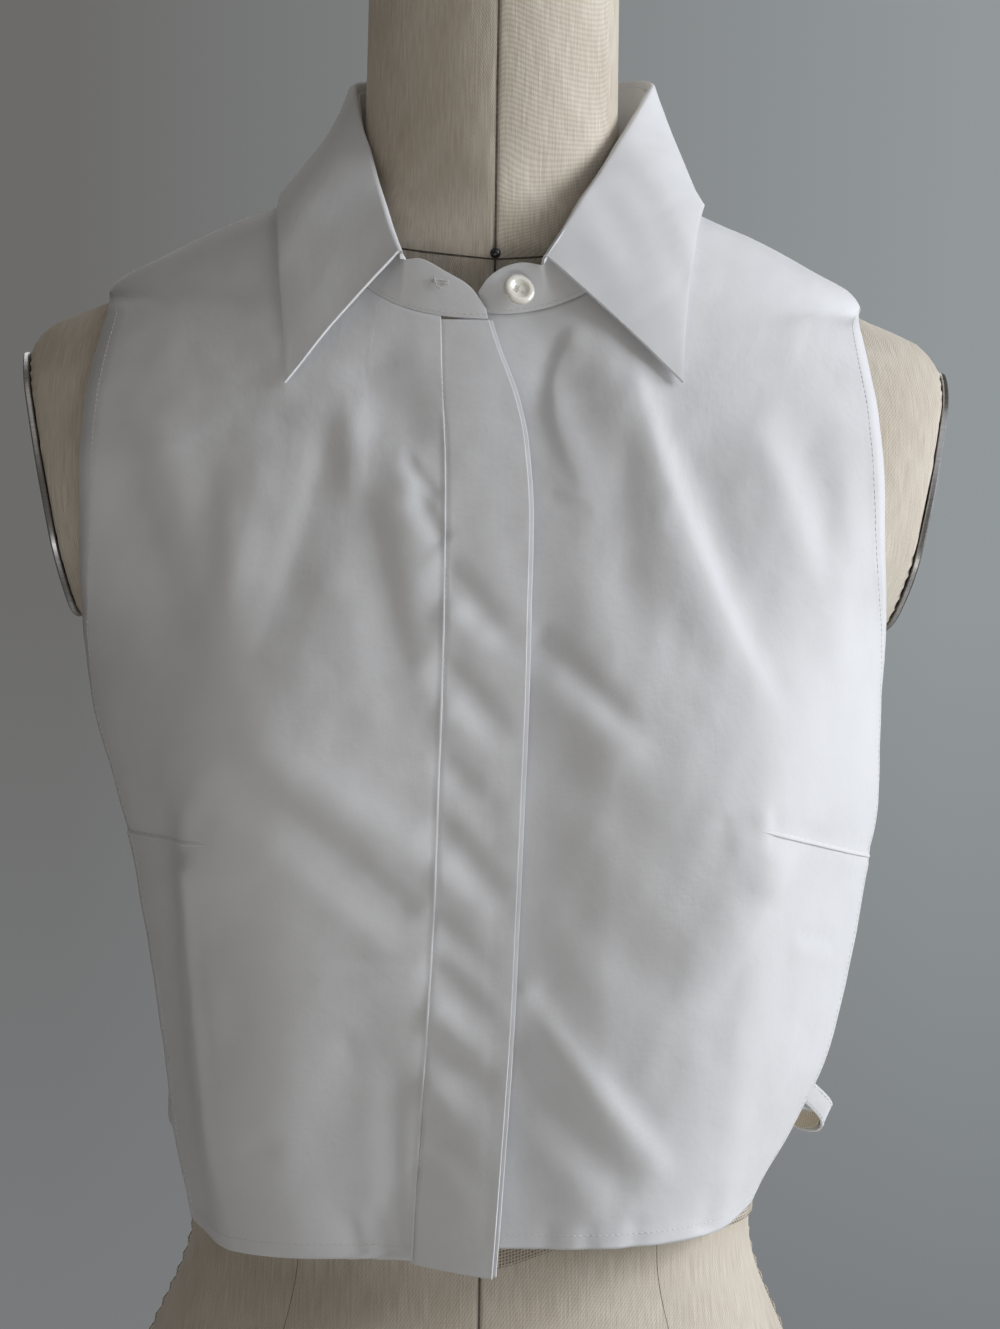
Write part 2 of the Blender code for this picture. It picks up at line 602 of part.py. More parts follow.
# --- the bib ------------------------------------------------------------------------------
def make_right_front():
    surface = front_surface(WEARERS_RIGHT)
    stitch = placket_line("stitch_x")
    shares = front_grid(WEARERS_RIGHT, surface, lambda z: SEAM - stitch(z))
    grid = [[surface.at_share(share, z) for share, z in row] for row in shares]
    return sheet_object("right_front", trim_shoulder(grid), CLOTH, cotton())


def make_left_front():
    """The under layer: lower at the centre, where the other front crosses it."""
    surface = front_surface(WEARERS_LEFT)
    shares = front_grid(WEARERS_LEFT, surface, lambda z: LEFT_FRONT_CENTRE_X)
    grid = [
        [left_front_point(surface, share * surface.edge_turn(z), z) for share, z in row]
        for row in shares
    ]
    return sheet_object("left_front", trim_shoulder(grid), CLOTH, cotton())


def left_front_point(surface, turn, z):
    x = surface.point(turn, z)[0]
    return surface.point(turn, z, OVERLAP_DROP * (1 - smooth_step(OVERLAP_LOW_X, OVERLAP_FREE_X, x)))


def trim_shoulder(grid):
    """Holds the shoulder seam's edge off the ridge, where the front and the back meet."""
    return [
        [(x, math.copysign(max(abs(y), SEAM), y), z) for x, y, z in row]
        for row in grid
    ]


def placket_grid(low_x, high_x, drop, foot_z, top_z):
    """Points across a strip of the placket; its x grow towards the wearer's left."""
    surface = front_surface(WEARERS_RIGHT)
    grid = []
    for j in range(PLACKET_RUNGS + 1):
        z = foot_z + (top_z - foot_z) * j / PLACKET_RUNGS
        first, last = low_x(z), high_x(z)
        row = []
        for i in range(PLACKET_COLUMNS + 1):
            x = first + (last - first) * i / PLACKET_COLUMNS
            row.append(surface.point(surface.turn_at(-x, z), z, drop))
        grid.append(row)
    return grid


def make_placket_strips():
    stitch, edge = placket_line("stitch_x"), placket_line("edge_x")
    outer = placket_grid(stitch, edge, 0.0, PLACKET_FOOT_Z, PLACKET_TOP_Z)
    sheet_object("right_placket", outer, STRIP, cotton())
    under = placket_grid(
        lambda z: stitch(z) + 2 * SEAM,
        lambda z: edge(z) + UNDER_STRIP_REACH,
        UNDER_STRIP_DROP,
        PLACKET_FOOT_Z + SEAM,
        PLACKET_TOP_Z,
    )
    sheet_object("right_placket_under", under, UNDER_STRIP, cotton())


def make_back():
    sides = {side: Surface(BACK_ROWS, "edge_x", side, 1) for side in (-1, 1)}
    surface = sides[1]
    levels = border_levels(surface, BACK_HEM_Z, BACK_TIP_RUNG, BACK_RUNGS)

    def top(u):
        turn, z = back_neck_turn(u)
        return (turn / surface.edge_turn(z), z)

    shares = patch(
        lambda u: (u, BACK_HEM_Z),
        top,
        lambda v: (0.0, BACK_HEM_Z + (BACK_NECK_Z - BACK_HEM_Z) * v),
        lambda v: (1.0, levels[round(v * BACK_RUNGS)]),
        BACK_COLUMNS // 2,
        BACK_RUNGS,
    )
    grid = []
    for row in shares:
        left = [sides[-1].at_share(share, z) for share, z in reversed(row[1:])]
        grid.append(left + [sides[1].at_share(share, z) for share, z in row])
    return sheet_object("back", trim_shoulder(grid), CLOTH, cotton())


# --- the collar -------------------------------------------------------------------------
def seam_point(side, position):
    """A point on the neck seam, from the front's centre (0) to the centre back (1)."""
    if position <= FRONT_SEAM_SHARE:
        surface = front_surface(side)
        turn, z = neck_turn(side, surface, QUARTER * position / FRONT_SEAM_SHARE)
        if side == WEARERS_LEFT:
            return left_front_point(surface, turn, z)
        return surface.point(turn, z)
    share = (1 - position) / (1 - FRONT_SEAM_SHARE)
    return Surface(BACK_ROWS, "edge_x", side, 1).point(*back_neck_turn(share))


def seam_position(side, x):
    """The position on the seam where it passes x, near the centre front."""
    return FRONT_SEAM_SHARE * neck_angle(side, x) / QUARTER


def panel_seam_positions(side):
    """Where the columns of the front and of half the back meet the neck seam."""
    first_x = LEFT_FRONT_CENTRE_X
    if side == WEARERS_RIGHT:
        first_x = SEAM - placket_line("stitch_x")(NECK_FRONT_Z[side])
    first = seam_position(side, first_x)
    front, back = FRONT_SEAM_SHARE - first, 1 - FRONT_SEAM_SHARE
    back_steps = BACK_COLUMNS // 2
    positions = [first + front * k / FRONT_COLUMNS for k in range(FRONT_COLUMNS)]
    return positions + [FRONT_SEAM_SHARE + back * k / back_steps for k in range(back_steps + 1)]


def collar_reader(side):
    """The collar table's columns as functions of the position on the seam."""
    columns = CollarRow._fields[1:]
    return {name: smooth_column(COLLAR_ROWS[side], name, "seam") for name in columns}


def fold_point(read, side, position):
    return (side * read["fold_x"](position), read["fold_y"](position), read["fold_z"](position))


def edge_point(read, side, position):
    return (side * read["edge_x"](position), read["edge_y"](position), read["edge_z"](position))


def fall_section(fold, edge, belly):
    """Points from the lip inside the fold, over it, and down the leaf to its edge."""
    out_x, out_y = edge[0] - fold[0], edge[1] - fold[1]
    reach = math.hypot(out_x, out_y)
    out = (out_x / reach, out_y / reach)
    shoulder = (fold[0] + FOLD_ROUND * out[0], fold[1] + FOLD_ROUND * out[1], fold[2] - FOLD_DROP)
    section = [(fold[0], fold[1], fold[2] - FOLD_LIP), fold]
    for k in range(FALL_RUNGS - 1):
        t = k / (FALL_RUNGS - 2)
        swell = belly * 4 * t * (1 - t)
        x, y, z = mix(shoulder, edge, t)
        section.append((x + swell * out[0], y + swell * out[1], z))
    return section


def make_collar_fall():
    grid = []
    for side in (WEARERS_RIGHT, WEARERS_LEFT):
        read = collar_reader(side)
        corner = COLLAR_ROWS[side][0].seam
        half = []
        for i in range(COLLAR_STATIONS + 1):
            position = corner + (1 - corner) * i / COLLAR_STATIONS
            fold, edge = fold_point(read, side, position), edge_point(read, side, position)
            half.append(fall_section(fold, edge, read["belly"](position)))
        grid += half if side == WEARERS_RIGHT else list(reversed(half))[1:]
    return sheet_object("collar_fall", grid, CLOTH, cotton())


def stand_section(seam, top):
    """Points from the neck seam up to the top of the stand."""
    length = math.dist(seam, top)
    foot = mix(seam, top, STAND_GAP / length)
    return [mix(foot, top, k / STAND_RUNGS) for k in range(STAND_RUNGS + 1)]


def make_collar_stand():
    grid = []
    for side in (WEARERS_RIGHT, WEARERS_LEFT):
        read = collar_reader(side)
        corner = COLLAR_ROWS[side][0].seam
        half = []
        for row in BAND_ROWS[side]:
            seam = seam_point(side, seam_position(side, side * row.seam_x))
            half.append(stand_section(seam, (row.top_x, row.top_y, row.top_z)))
        inside = [at for at in panel_seam_positions(side) if at > corner + CORNER_CLEAR]
        for position in [corner] + inside:
            x, y, z = fold_point(read, side, position)
            top = (x, y, z - FOLD_LIP - SEAM)
            half.append(stand_section(seam_point(side, position), top))
        grid += half if side == WEARERS_RIGHT else list(reversed(half))[1:]
    return sheet_object("collar_stand", grid, STAND_WALL, cotton())


# --- buttons and straps -------------------------------------------------------------------
def make_button(name, place, size, wall, sides, tilt, turn=0.0):
    """A flat round button with a softened rim, facing -Y; tilt turns its face downwards, and turn
    towards the wearer's left."""
    pearl = material("pearl_button", (0.82, 0.81, 0.76), 0.25)

    def build(shape):
        bmesh.ops.create_cone(
            shape, cap_ends=True, segments=sides, radius1=size / 2, radius2=size / 2, depth=wall
        )

    made = new_object(name, build, pearl)
    made.location = place
    made.rotation_euler = (QUARTER + tilt, 0.0, turn)
    rounding = made.modifiers.new("rim", "BEVEL")
    rounding.width = wall * BUTTON_ROUND_SHARE
    rounding.segments = 2
    rounding.limit_method = "ANGLE"
    return made


def make_collar_button():
    sizes = (BUTTON_SIZE, BUTTON_WALL, BUTTON_SIDES)
    make_button("collar_button", BUTTON_PLACE, *sizes, BUTTON_TILT, BUTTON_TURN)


def make_fly_buttons():
    depth = front_surface(WEARERS_LEFT).depth
    reach = FLY_BUTTON_SIZE / 2
    for number, z in enumerate(FLY_BUTTON_Z, 1):
        low, high = depth(z - reach), depth(z + reach)
        tilt = math.atan2(high - low, 2 * reach)
        place = (FLY_BUTTON_X, -(low + high) / 2 + FLY_BUTTON_DROP, z)
        sizes = (FLY_BUTTON_SIZE, FLY_BUTTON_WALL, FLY_BUTTON_SIDES)
        make_button(f"fly_button_{number}", place, *sizes, tilt)


def strap_points(rows, side):
    points = [(side * row.x, row.y, row.z) for row in rows]
    count = (len(points) - 1) * STRAP_STEPS
    return [along(points, i / count) for i in range(count + 1)]


def make_strap(name, rows, side):
    half = STRAP_WIDTH / 2
    grid = [[(x, y, z - half), (x, y, z + half)] for x, y, z in strap_points(rows, side)]
    return sheet_object(name, grid, STRIP, cotton())


def make_slider():
    steel = material("brushed_steel", (0.55, 0.55, 0.56), 0.35, 1.0)

    def build(shape):
        bmesh.ops.create_cube(shape, size=1.0)
        bmesh.ops.scale(shape, vec=SLIDER_SIZE, verts=shape.verts)

    made = new_object("strap_slider", build, steel)
    made.location = SLIDER_PLACE
    made.rotation_euler = (0.0, 0.0, SLIDER_TURN)
    return made


def clear_scene():
    for old in list(bpy.data.objects):
        bpy.data.objects.remove(old)


def main():
    clear_scene()
    make_dress_form()
    for side in (WEARERS_RIGHT, WEARERS_LEFT):
        make_arm_plate(side)
    make_waist_tape()
    make_neck_pin()
    make_right_front()
    make_placket_strips()
    make_left_front()
    make_back()
    make_collar_stand()
    make_collar_fall()
    make_collar_button()
    make_fly_buttons()
    make_strap("side_strap_left", LEFT_STRAP, WEARERS_LEFT)
    make_strap("side_strap_right", RIGHT_STRAP, WEARERS_RIGHT)
    make_slider()


main()
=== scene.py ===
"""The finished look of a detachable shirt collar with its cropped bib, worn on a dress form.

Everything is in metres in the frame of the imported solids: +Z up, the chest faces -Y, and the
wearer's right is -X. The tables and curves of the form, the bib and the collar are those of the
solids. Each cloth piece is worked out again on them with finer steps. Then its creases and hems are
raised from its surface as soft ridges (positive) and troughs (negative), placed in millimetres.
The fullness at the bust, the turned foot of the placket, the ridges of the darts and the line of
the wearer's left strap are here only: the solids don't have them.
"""

import math
from bisect import bisect_right
from collections import namedtuple
from functools import cache

import bmesh
import bpy
import numpy as np
from mathutils import Matrix, Vector
from mathutils.bvhtree import BVHTree


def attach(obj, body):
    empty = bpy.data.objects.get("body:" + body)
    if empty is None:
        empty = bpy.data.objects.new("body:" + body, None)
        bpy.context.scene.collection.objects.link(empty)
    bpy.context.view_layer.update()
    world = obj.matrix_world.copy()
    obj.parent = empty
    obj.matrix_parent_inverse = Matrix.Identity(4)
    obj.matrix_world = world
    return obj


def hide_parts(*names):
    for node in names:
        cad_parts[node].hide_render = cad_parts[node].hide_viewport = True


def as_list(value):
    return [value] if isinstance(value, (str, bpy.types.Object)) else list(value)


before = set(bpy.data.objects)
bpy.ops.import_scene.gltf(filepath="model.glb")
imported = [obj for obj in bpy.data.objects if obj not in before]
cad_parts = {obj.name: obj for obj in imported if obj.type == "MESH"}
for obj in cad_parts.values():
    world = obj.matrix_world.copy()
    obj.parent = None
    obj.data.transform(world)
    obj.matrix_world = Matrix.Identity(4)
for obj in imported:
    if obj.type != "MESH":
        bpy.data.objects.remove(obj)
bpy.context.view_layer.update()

STRIP = 0.0010  # wall of the outer placket strip and of a strap
UNDER_STRIP = 0.0008  # wall of the under placket strip
SEAM = 0.0005  # clear gap between two sewn pieces
REST_GAP = 0.0006  # clear gap between a fitting and the linen it lies on
QUARTER = math.pi / 2
WEARERS_RIGHT, WEARERS_LEFT = -1, 1


def rows_of(kind, *rows):
    return tuple(kind(*row) for row in rows)


# --- the dress form -------------------------------------------------------------------------
FormRow = namedtuple("FormRow", "z half_width front back power")
FORM_ROWS = rows_of(
    FormRow,
    (0.000, 0.1680, 0.1120, 0.1180, 2.2),
    (0.040, 0.1700, 0.1120, 0.1250, 2.2),
    (0.110, 0.1590, 0.1100, 0.1150, 2.2),
    (0.180, 0.1290, 0.1000, 0.0880, 2.1),
    (0.230, 0.1118, 0.0910, 0.0700, 2.1),
    (0.280, 0.1155, 0.0940, 0.0750, 2.1),
    (0.330, 0.1245, 0.1020, 0.0880, 2.2),
    (0.370, 0.1330, 0.1110, 0.0950, 2.3),
    (0.395, 0.1390, 0.1150, 0.0985, 2.3),
    (0.430, 0.1440, 0.1130, 0.1030, 2.3),
    (0.452, 0.1490, 0.1080, 0.1060, 2.3),
    (0.475, 0.1660, 0.1030, 0.1080, 2.3),
    (0.500, 0.1850, 0.0955, 0.1095, 2.3),
    (0.530, 0.1930, 0.0860, 0.1095, 2.3),
    (0.555, 0.1940, 0.0760, 0.1070, 2.2),
    (0.572, 0.1850, 0.0690, 0.1030, 2.05),
    (0.584, 0.1770, 0.0630, 0.0930, 1.65),
    (0.591, 0.1630, 0.0600, 0.0865, 1.40),
    (0.597, 0.1480, 0.0600, 0.0850, 1.40),
    (0.604, 0.1385, 0.0600, 0.0830, 1.45),
    (0.611, 0.1260, 0.0600, 0.0805, 1.6),
    (0.620, 0.1080, 0.0585, 0.0755, 1.5),
    (0.628, 0.0900, 0.0575, 0.0710, 1.45),
    (0.634, 0.0760, 0.0565, 0.0680, 1.45),
    (0.644, 0.0610, 0.0550, 0.0625, 1.6),
    (0.656, 0.0540, 0.0535, 0.0575, 1.9),
    (0.675, 0.0510, 0.0520, 0.0540, 2.0),
    (0.738, 0.0505, 0.0510, 0.0520, 2.0),
)
FORM_HEIGHT = 0.745
FORM_TOP_INSET = 0.006
# The arm openings are cut by a plane that leans in towards the waist.
ARM_PLANE_X, ARM_PLANE_Z, ARM_PLANE_SLOPE = 0.1800, 0.559, 0.214
ARM_PLANE_FOOT_Z = 0.430
WAIST_Z, WAIST_TAPE_WIDTH, WAIST_TAPE_WALL = 0.2300, 0.0130, 0.0008
NECK_PIN_Z, NECK_PIN_HEAD = 0.6100, 0.0042
NECK_SEAM_Z, NECK_SEAM_RISE = 0.6080, 0.048  # the linen's seam at the neck's base, front to back
# Half widths of the form's dark seam lines, which are painted shade, and the heights between which
# they run.
CENTRE_SEAM, NECK_SEAM, PANEL_SEAM = 0.00042, 0.00034, 0.00012
SEAM_FOOT_Z, CENTRE_SEAM_TOP_Z, PANEL_SEAM_TOP_Z = 0.004, 0.737, 0.560
PANEL_SEAM_ANGLES = ((0.62, 0.66), (math.pi - 0.62, math.pi - 0.60))  # at the foot, at the top
WHIP_STITCHES, WHIP_FOOT_Z, WHIP_PITCH = 69, 0.006, 0.0062

# --- the bib: level sections of the fronts and of the back ------------------------------------
FrontRow = namedtuple("FrontRow", "z depth power right_x left_x edge_y")
FRONT_ROWS = rows_of(
    FrontRow,
    (0.2310, 0.1110, 2.30, 0.1085, 0.1020, 0.0470),
    (0.2445, 0.1115, 2.30, 0.1115, 0.1066, 0.0470),
    (0.2700, 0.1125, 2.30, 0.1182, 0.1220, 0.0430),
    (0.3000, 0.1145, 2.30, 0.1234, 0.1368, 0.0400),
    (0.3420, 0.1185, 2.30, 0.1303, 0.1469, 0.0380),
    (0.3790, 0.1235, 2.35, 0.1370, 0.1529, 0.0370),
    (0.4020, 0.1250, 2.40, 0.1430, 0.1562, 0.0370),
    (0.4400, 0.1225, 2.40, 0.1524, 0.1560, 0.0380),
    (0.4665, 0.1180, 2.35, 0.1557, 0.1555, 0.0490),
    (0.4900, 0.1125, 2.30, 0.1562, 0.1525, 0.0650),
    (0.5240, 0.1030, 2.20, 0.1566, 0.1506, 0.0700),
    (0.5500, 0.0935, 2.10, 0.1559, 0.1498, 0.0600),
    (0.5730, 0.0845, 2.00, 0.1530, 0.1475, 0.0450),
    (0.5880, 0.0790, 1.85, 0.1505, 0.1465, 0.0310),
    (0.5995, 0.0750, 1.75, 0.1525, 0.1510, 0.0000),
    (0.6055, 0.0735, 1.70, 0.1470, 0.1470, 0.0000),
    (0.6125, 0.0715, 1.70, 0.1338, 0.1338, 0.0000),
    (0.6212, 0.0690, 1.70, 0.1175, 0.1175, 0.0000),
    (0.6286, 0.0665, 1.70, 0.1013, 0.1013, 0.0000),
    (0.6340, 0.0645, 1.70, 0.0853, 0.0853, 0.0000),
    (0.6480, 0.0600, 1.70, 0.0660, 0.0660, 0.0000),
)
BackRow = namedtuple("BackRow", "z depth power edge_x edge_y")
BACK_ROWS = rows_of(
    BackRow,
    (0.2360, 0.0880, 2.30, 0.1080, 0.0420),
    (0.2700, 0.0920, 2.30, 0.1160, 0.0420),
    (0.3000, 0.0960, 2.30, 0.1240, 0.0420),
    (0.3420, 0.1020, 2.30, 0.1340, 0.0420),
    (0.3900, 0.1080, 2.30, 0.1430, 0.0430),
    (0.4400, 0.1125, 2.30, 0.1480, 0.0480),
    (0.4665, 0.1150, 2.30, 0.1520, 0.0580),
    (0.4900, 0.1165, 2.30, 0.1550, 0.0700),
    (0.5240, 0.1170, 2.30, 0.1560, 0.0800),
    (0.5500, 0.1155, 2.20, 0.1550, 0.0760),
    (0.5730, 0.1110, 2.05, 0.1520, 0.0640),
    (0.5880, 0.1065, 1.90, 0.1500, 0.0440),
    (0.5995, 0.1000, 1.75, 0.1515, 0.0000),
    (0.6055, 0.0960, 1.70, 0.1470, 0.0000),
    (0.6125, 0.0915, 1.70, 0.1338, 0.0000),
    (0.6212, 0.0860, 1.70, 0.1175, 0.0000),
    (0.6286, 0.0810, 1.70, 0.1013, 0.0000),
    (0.6340, 0.0775, 1.70, 0.0853, 0.0000),
    (0.6480, 0.0690, 1.70, 0.0660, 0.0000),
    (0.6600, 0.0625, 1.90, 0.0560, 0.0000),
)
SHOULDER_TIP_Z = 0.5995
SIDE_NECK_X, SIDE_NECK_Z = 0.0660, 0.6480
BACK_NECK_Z = 0.6600
# The front neck seam is a superellipse from the centre up to the side of the neck.
NECK_FRONT_Z = {WEARERS_RIGHT: 0.5825, WEARERS_LEFT: 0.5850}
NECK_POWER = {WEARERS_RIGHT: 2.8, WEARERS_LEFT: 2.0}
HEM_CENTRE_Z = {WEARERS_RIGHT: 0.2320, WEARERS_LEFT: 0.2365}
HEM_SIDE_Z = {WEARERS_RIGHT: 0.2360, WEARERS_LEFT: 0.2440}
BACK_HEM_Z = 0.2400
LEFT_FRONT_CENTRE_X = -0.0150  # hidden edge of the under layer
OVERLAP_DROP = 0.0050  # the under layer lies this far below the outer one at the centre
OVERLAP_LOW_X, OVERLAP_FREE_X = 0.0120, 0.0450  # it rises to the outer level between these
# A panel's columns run from the hem to the neck seam, and its rungs from the centre to its side
# border, which is the free edge up to the shoulder tip and then the shoulder seam.
FRONT_TIP_SHARE, BACK_TIP_SHARE = 18 / 24, 16 / 21  # the shoulder tip's share of the way up
RUNG_CROWDING = 1.3
BORDER_SAMPLES = 120

# --- the fly placket on the wearer's right front ---------------------------------------------
PlacketRow = namedtuple("PlacketRow", "z stitch_x edge_x")
PLACKET_ROWS = rows_of(
    PlacketRow,
    (0.2270, -0.0256, 0.0031),
    (0.2557, -0.0247, 0.0049),
    (0.2927, -0.0228, 0.0072),
    (0.3293, -0.0210, 0.0090),
    (0.3668, -0.0197, 0.0098),
    (0.4031, -0.0192, 0.0106),
    (0.4394, -0.0185, 0.0116),
    (0.4757, -0.0181, 0.0122),
    (0.5060, -0.0181, 0.0128),
    (0.5357, -0.0185, 0.0108),
    (0.5518, -0.0198, 0.0075),
    (0.5723, -0.0204, 0.0003),
    (0.5830, -0.0207, -0.0030),
)
PLACKET_FOOT_Z, PLACKET_TOP_Z = 0.2290, 0.5822
UNDER_STRIP_DROP = 0.0014
UNDER_STRIP_REACH = 0.0015  # how far the under strip's fold shows past the outer one's

# --- the collar ---------------------------------------------------------------------------
# One row for each station from the front corner of the leaf (first) to the centre back (last).
# "seam" is how far along the neck seam the stand below it starts: 0 at its front end, 1 behind.
CollarRow = namedtuple("CollarRow", "seam fold_x fold_y fold_z edge_x edge_y edge_z belly")
COLLAR_ROWS = {
    WEARERS_RIGHT: rows_of(
        CollarRow,
        (0.161, 0.0352, -0.0760, 0.6085, 0.0791, -0.0868, 0.5565, 0.0010),
        (0.300, 0.0395, -0.0650, 0.6205, 0.0803, -0.0785, 0.5755, 0.0025),
        (0.400, 0.0440, -0.0480, 0.6370, 0.0823, -0.0655, 0.5975, 0.0035),
        (0.460, 0.0478, -0.0335, 0.6520, 0.0838, -0.0535, 0.6150, 0.0030),
        (0.510, 0.0512, -0.0195, 0.6650, 0.0848, -0.0360, 0.6295, 0.0015),
        (0.560, 0.0540, -0.0020, 0.6790, 0.0850, -0.0110, 0.6385, -0.0010),
        (0.640, 0.0550, 0.0150, 0.6875, 0.0815, 0.0230, 0.6430, -0.0020),
        (0.755, 0.0470, 0.0400, 0.6950, 0.0680, 0.0580, 0.6460, 0.0000),
        (0.880, 0.0250, 0.0590, 0.6990, 0.0370, 0.0770, 0.6480, 0.0010),
        (1.000, 0.0000, 0.0650, 0.7005, 0.0000, 0.0820, 0.6490, 0.0010),
    ),
    WEARERS_LEFT: rows_of(
        CollarRow,
        (0.109, 0.0170, -0.0760, 0.6077, 0.0708, -0.0866, 0.5599, 0.0010),
        (0.224, 0.0245, -0.0700, 0.6200, 0.0722, -0.0787, 0.5775, 0.0025),
        (0.336, 0.0352, -0.0540, 0.6380, 0.0745, -0.0675, 0.5965, 0.0035),
        (0.411, 0.0430, -0.0410, 0.6510, 0.0772, -0.0575, 0.6120, 0.0030),
        (0.473, 0.0505, -0.0270, 0.6640, 0.0805, -0.0425, 0.6265, 0.0015),
        (0.560, 0.0588, -0.0030, 0.6800, 0.0858, -0.0120, 0.6390, 0.0000),
        (0.650, 0.0650, 0.0200, 0.6930, 0.0868, 0.0240, 0.6430, 0.0000),
        (0.760, 0.0600, 0.0430, 0.6985, 0.0740, 0.0580, 0.6460, 0.0000),
        (0.880, 0.0345, 0.0600, 0.7000, 0.0410, 0.0775, 0.6480, 0.0010),
        (1.000, 0.0000, 0.0650, 0.7005, 0.0000, 0.0820, 0.6490, 0.0010),
    ),
}
# The stand's two ends run on past the leaf: the wearer's right one crosses over the left one.
BandRow = namedtuple("BandRow", "seam_x top_x top_y top_z")
BAND_ROWS = {
    WEARERS_RIGHT: rows_of(
        BandRow,
        (-0.0030, -0.0036, -0.0800, 0.5862),
        (-0.0095, -0.0099, -0.0798, 0.5947),
        (-0.0195, -0.0195, -0.0790, 0.6005),
        (-0.0285, -0.0285, -0.0775, 0.6052),
    ),
    WEARERS_LEFT: rows_of(
        BandRow,
        (-0.0050, -0.0068, -0.0748, 0.5935),
        (-0.0015, -0.0030, -0.0748, 0.5990),
        (0.0045, 0.0025, -0.0748, 0.6030),
        (0.0120, 0.0095, -0.0750, 0.6050),
    ),
}
FOLD_LIP = 0.0035  # the leaf's own edge turns down this far inside the fold
STAND_WALL = 0.0014
FRONT_SEAM_SHARE = 0.56  # the front's part of half the neck seam

# --- buttons and side straps --------------------------------------------------------------
BUTTON_SIZE, BUTTON_WALL = 0.0125, 0.0024
BUTTON_PLACE = (0.0086, -0.0795, 0.5942)
StrapRow = namedtuple("StrapRow", "x y z")
STRAP_WIDTH = 0.0090
RIGHT_STRAP = rows_of(
    StrapRow,
    (0.1190, -0.0385, 0.2740),
    (0.1215, -0.0200, 0.2740),
    (0.1225, 0.0000, 0.2740),
    (0.1215, 0.0200, 0.2740),
    (0.1180, 0.0360, 0.2740),
)
SLIDER_PLACE = (0.1303, 0.0088, 0.2740)
SLIDER_SIZE = (0.0016, 0.0085, 0.0125)
SLIDER_TURN = math.radians(22)

# --- finer steps ------------------------------------------------------------------------------
MM = 0.001
POPLIN = 0.0005  # wall of one layer of cloth
LEAF_WALL = 0.0013  # two layers of the collar with their interlining
JOIN = 0.00012  # what is left open between two sewn pieces
FRONT_STEPS = (130, 210)  # across and up
BACK_STEPS = (60, 110)
STRIP_STEPS = (22, 300)
FALL_STEPS = (110, 30)  # along half the collar, down the leaf
STAND_STEPS = (100, 8)
FORM_STEPS = (240, 170)
STITCH_LENGTH, STITCH_PITCH, STITCH_RADIUS = 0.0019, 0.0024, 0.00013
STRIP_SHARES = np.concatenate([[0, 0.03, 0.06, 0.09], np.linspace(0.12, 0.97, 18), [0.985, 1.0]])
TUCK_REACH, TUCK_DROP = 0.0012, 0.0009  # the placket's first border, under the front's edge
EDGE_LIP, EDGE_LIP_WIDTH = 0.0004, 0.0022  # the sewn edge that stands over it
HEM_WIDTH = 0.0065
CREASE_SPREAD, CREASE_STRENGTH = 1.6, 1.25
STITCH_TOP_Z = 0.534  # above here the placket's stitched edge is pressed flat
TAPE_LIFT, TAPE_RISE, TAPE_RISE_X = 0.0020, 0.0095, 0.040  # the waist tape climbs from the centre
FOOT_SLANT, FOOT_REACH = 0.0030, 0.030  # the placket's foot, lower at its fold
FOOT_TURN, FOOT_TURN_Z = 0.0090, 0.345  # its fold stands further out below this height
SHOULDER_PASSES = 45  # of smoothing round the shoulder tip
ARM_PLATE_STEPS = 40
# The fullness beside the darts: fitted to how the cloth is shaded, and not in the solids.
FULL_Z, FULL_LEAN = 0.390, 0.085
Fullness = namedtuple("Fullness", "x rise fade outer")
FULL = {
    WEARERS_RIGHT: Fullness(0.0975, 0.0165, 2.3, 0.0150),
    WEARERS_LEFT: Fullness(0.0960, 0.0085, 3.4, 0.0170),
}
FULL_INNER, FULL_OUTER_ABOVE, FULL_ABOVE = 0.046, 0.042, 0.062
ROLL_RADIUS = 0.0016  # of the leaf's round fold
WAVE_PERIOD = math.pi / 10  # of Blender's wave texture at scale 1

# --- what the fittings lean and where they lie ------------------------------------------------
BUTTON_TURN, BUTTON_TILT = math.radians(20), math.radians(20)
BUTTONHOLE_X, BUTTONHOLE_Z, BUTTONHOLE_LENGTH = -0.0215, 0.5965, 0.0062
BUTTONHOLE_STITCHES = 13  # on each side of it

# --- colours and light ------------------------------------------------------------------------
POPLIN_COLOUR, POPLIN_SHADE = (0.79, 0.80, 0.825), (0.76, 0.77, 0.795)
LINEN_COLOUR, LINEN_SHADE = (0.84, 0.785, 0.70), (0.62, 0.565, 0.485)
WALL_PAINTED_SHADE, WALL_PAINTED_LIGHT = (0.150, 0.148, 0.144), (0.290, 0.315, 0.325)
WALL_LOW_PAINTED_SHADE, WALL_LOW_PAINTED_LIGHT = (0.190, 0.196, 0.202), (0.200, 0.214, 0.222)
FILL_COLOUR, FILL_STRENGTH = (1.0, 0.92, 0.82), 0.085
KEY_COLOUR, KEY_POWER, BACK_POWER = (0.94, 0.965, 1.0), 37.0, 8.0
LOW_COLOUR, LOW_POWER, TOP_POWER, SKY_POWER = (1.0, 0.97, 0.92), 6.2, 3.2, 2.6
CAMERA_PLACE, CAMERA_FORWARD = (-0.04494, -1.19918, 0.45214), (0.04362, 0.99905, 0)
CAMERA_ROLL, CAMERA_LENS, CAMERA_CLIP = math.radians(1.06), 80.26, (0.02, 30.0)
LIGHT_AIM = (0.0, 0.0, 0.42)
# Each light's direction in degrees (azimuth, elevation), distance, size, power and colour.
LIGHTS = {
    "key": (79, 17, 2.0, 1.1, KEY_POWER, KEY_COLOUR),
    "low_front": (0, -34, 1.3, 0.9, LOW_POWER, LOW_COLOUR),
    "window_top": (48, 42, 2.0, 1.0, TOP_POWER, KEY_COLOUR),
    "sky": (-50, 52, 2.0, 1.4, SKY_POWER, LOW_COLOUR),
    "back_light": (190, 35, 2.4, 1.4, BACK_POWER, (1.0, 1.0, 1.0)),
}
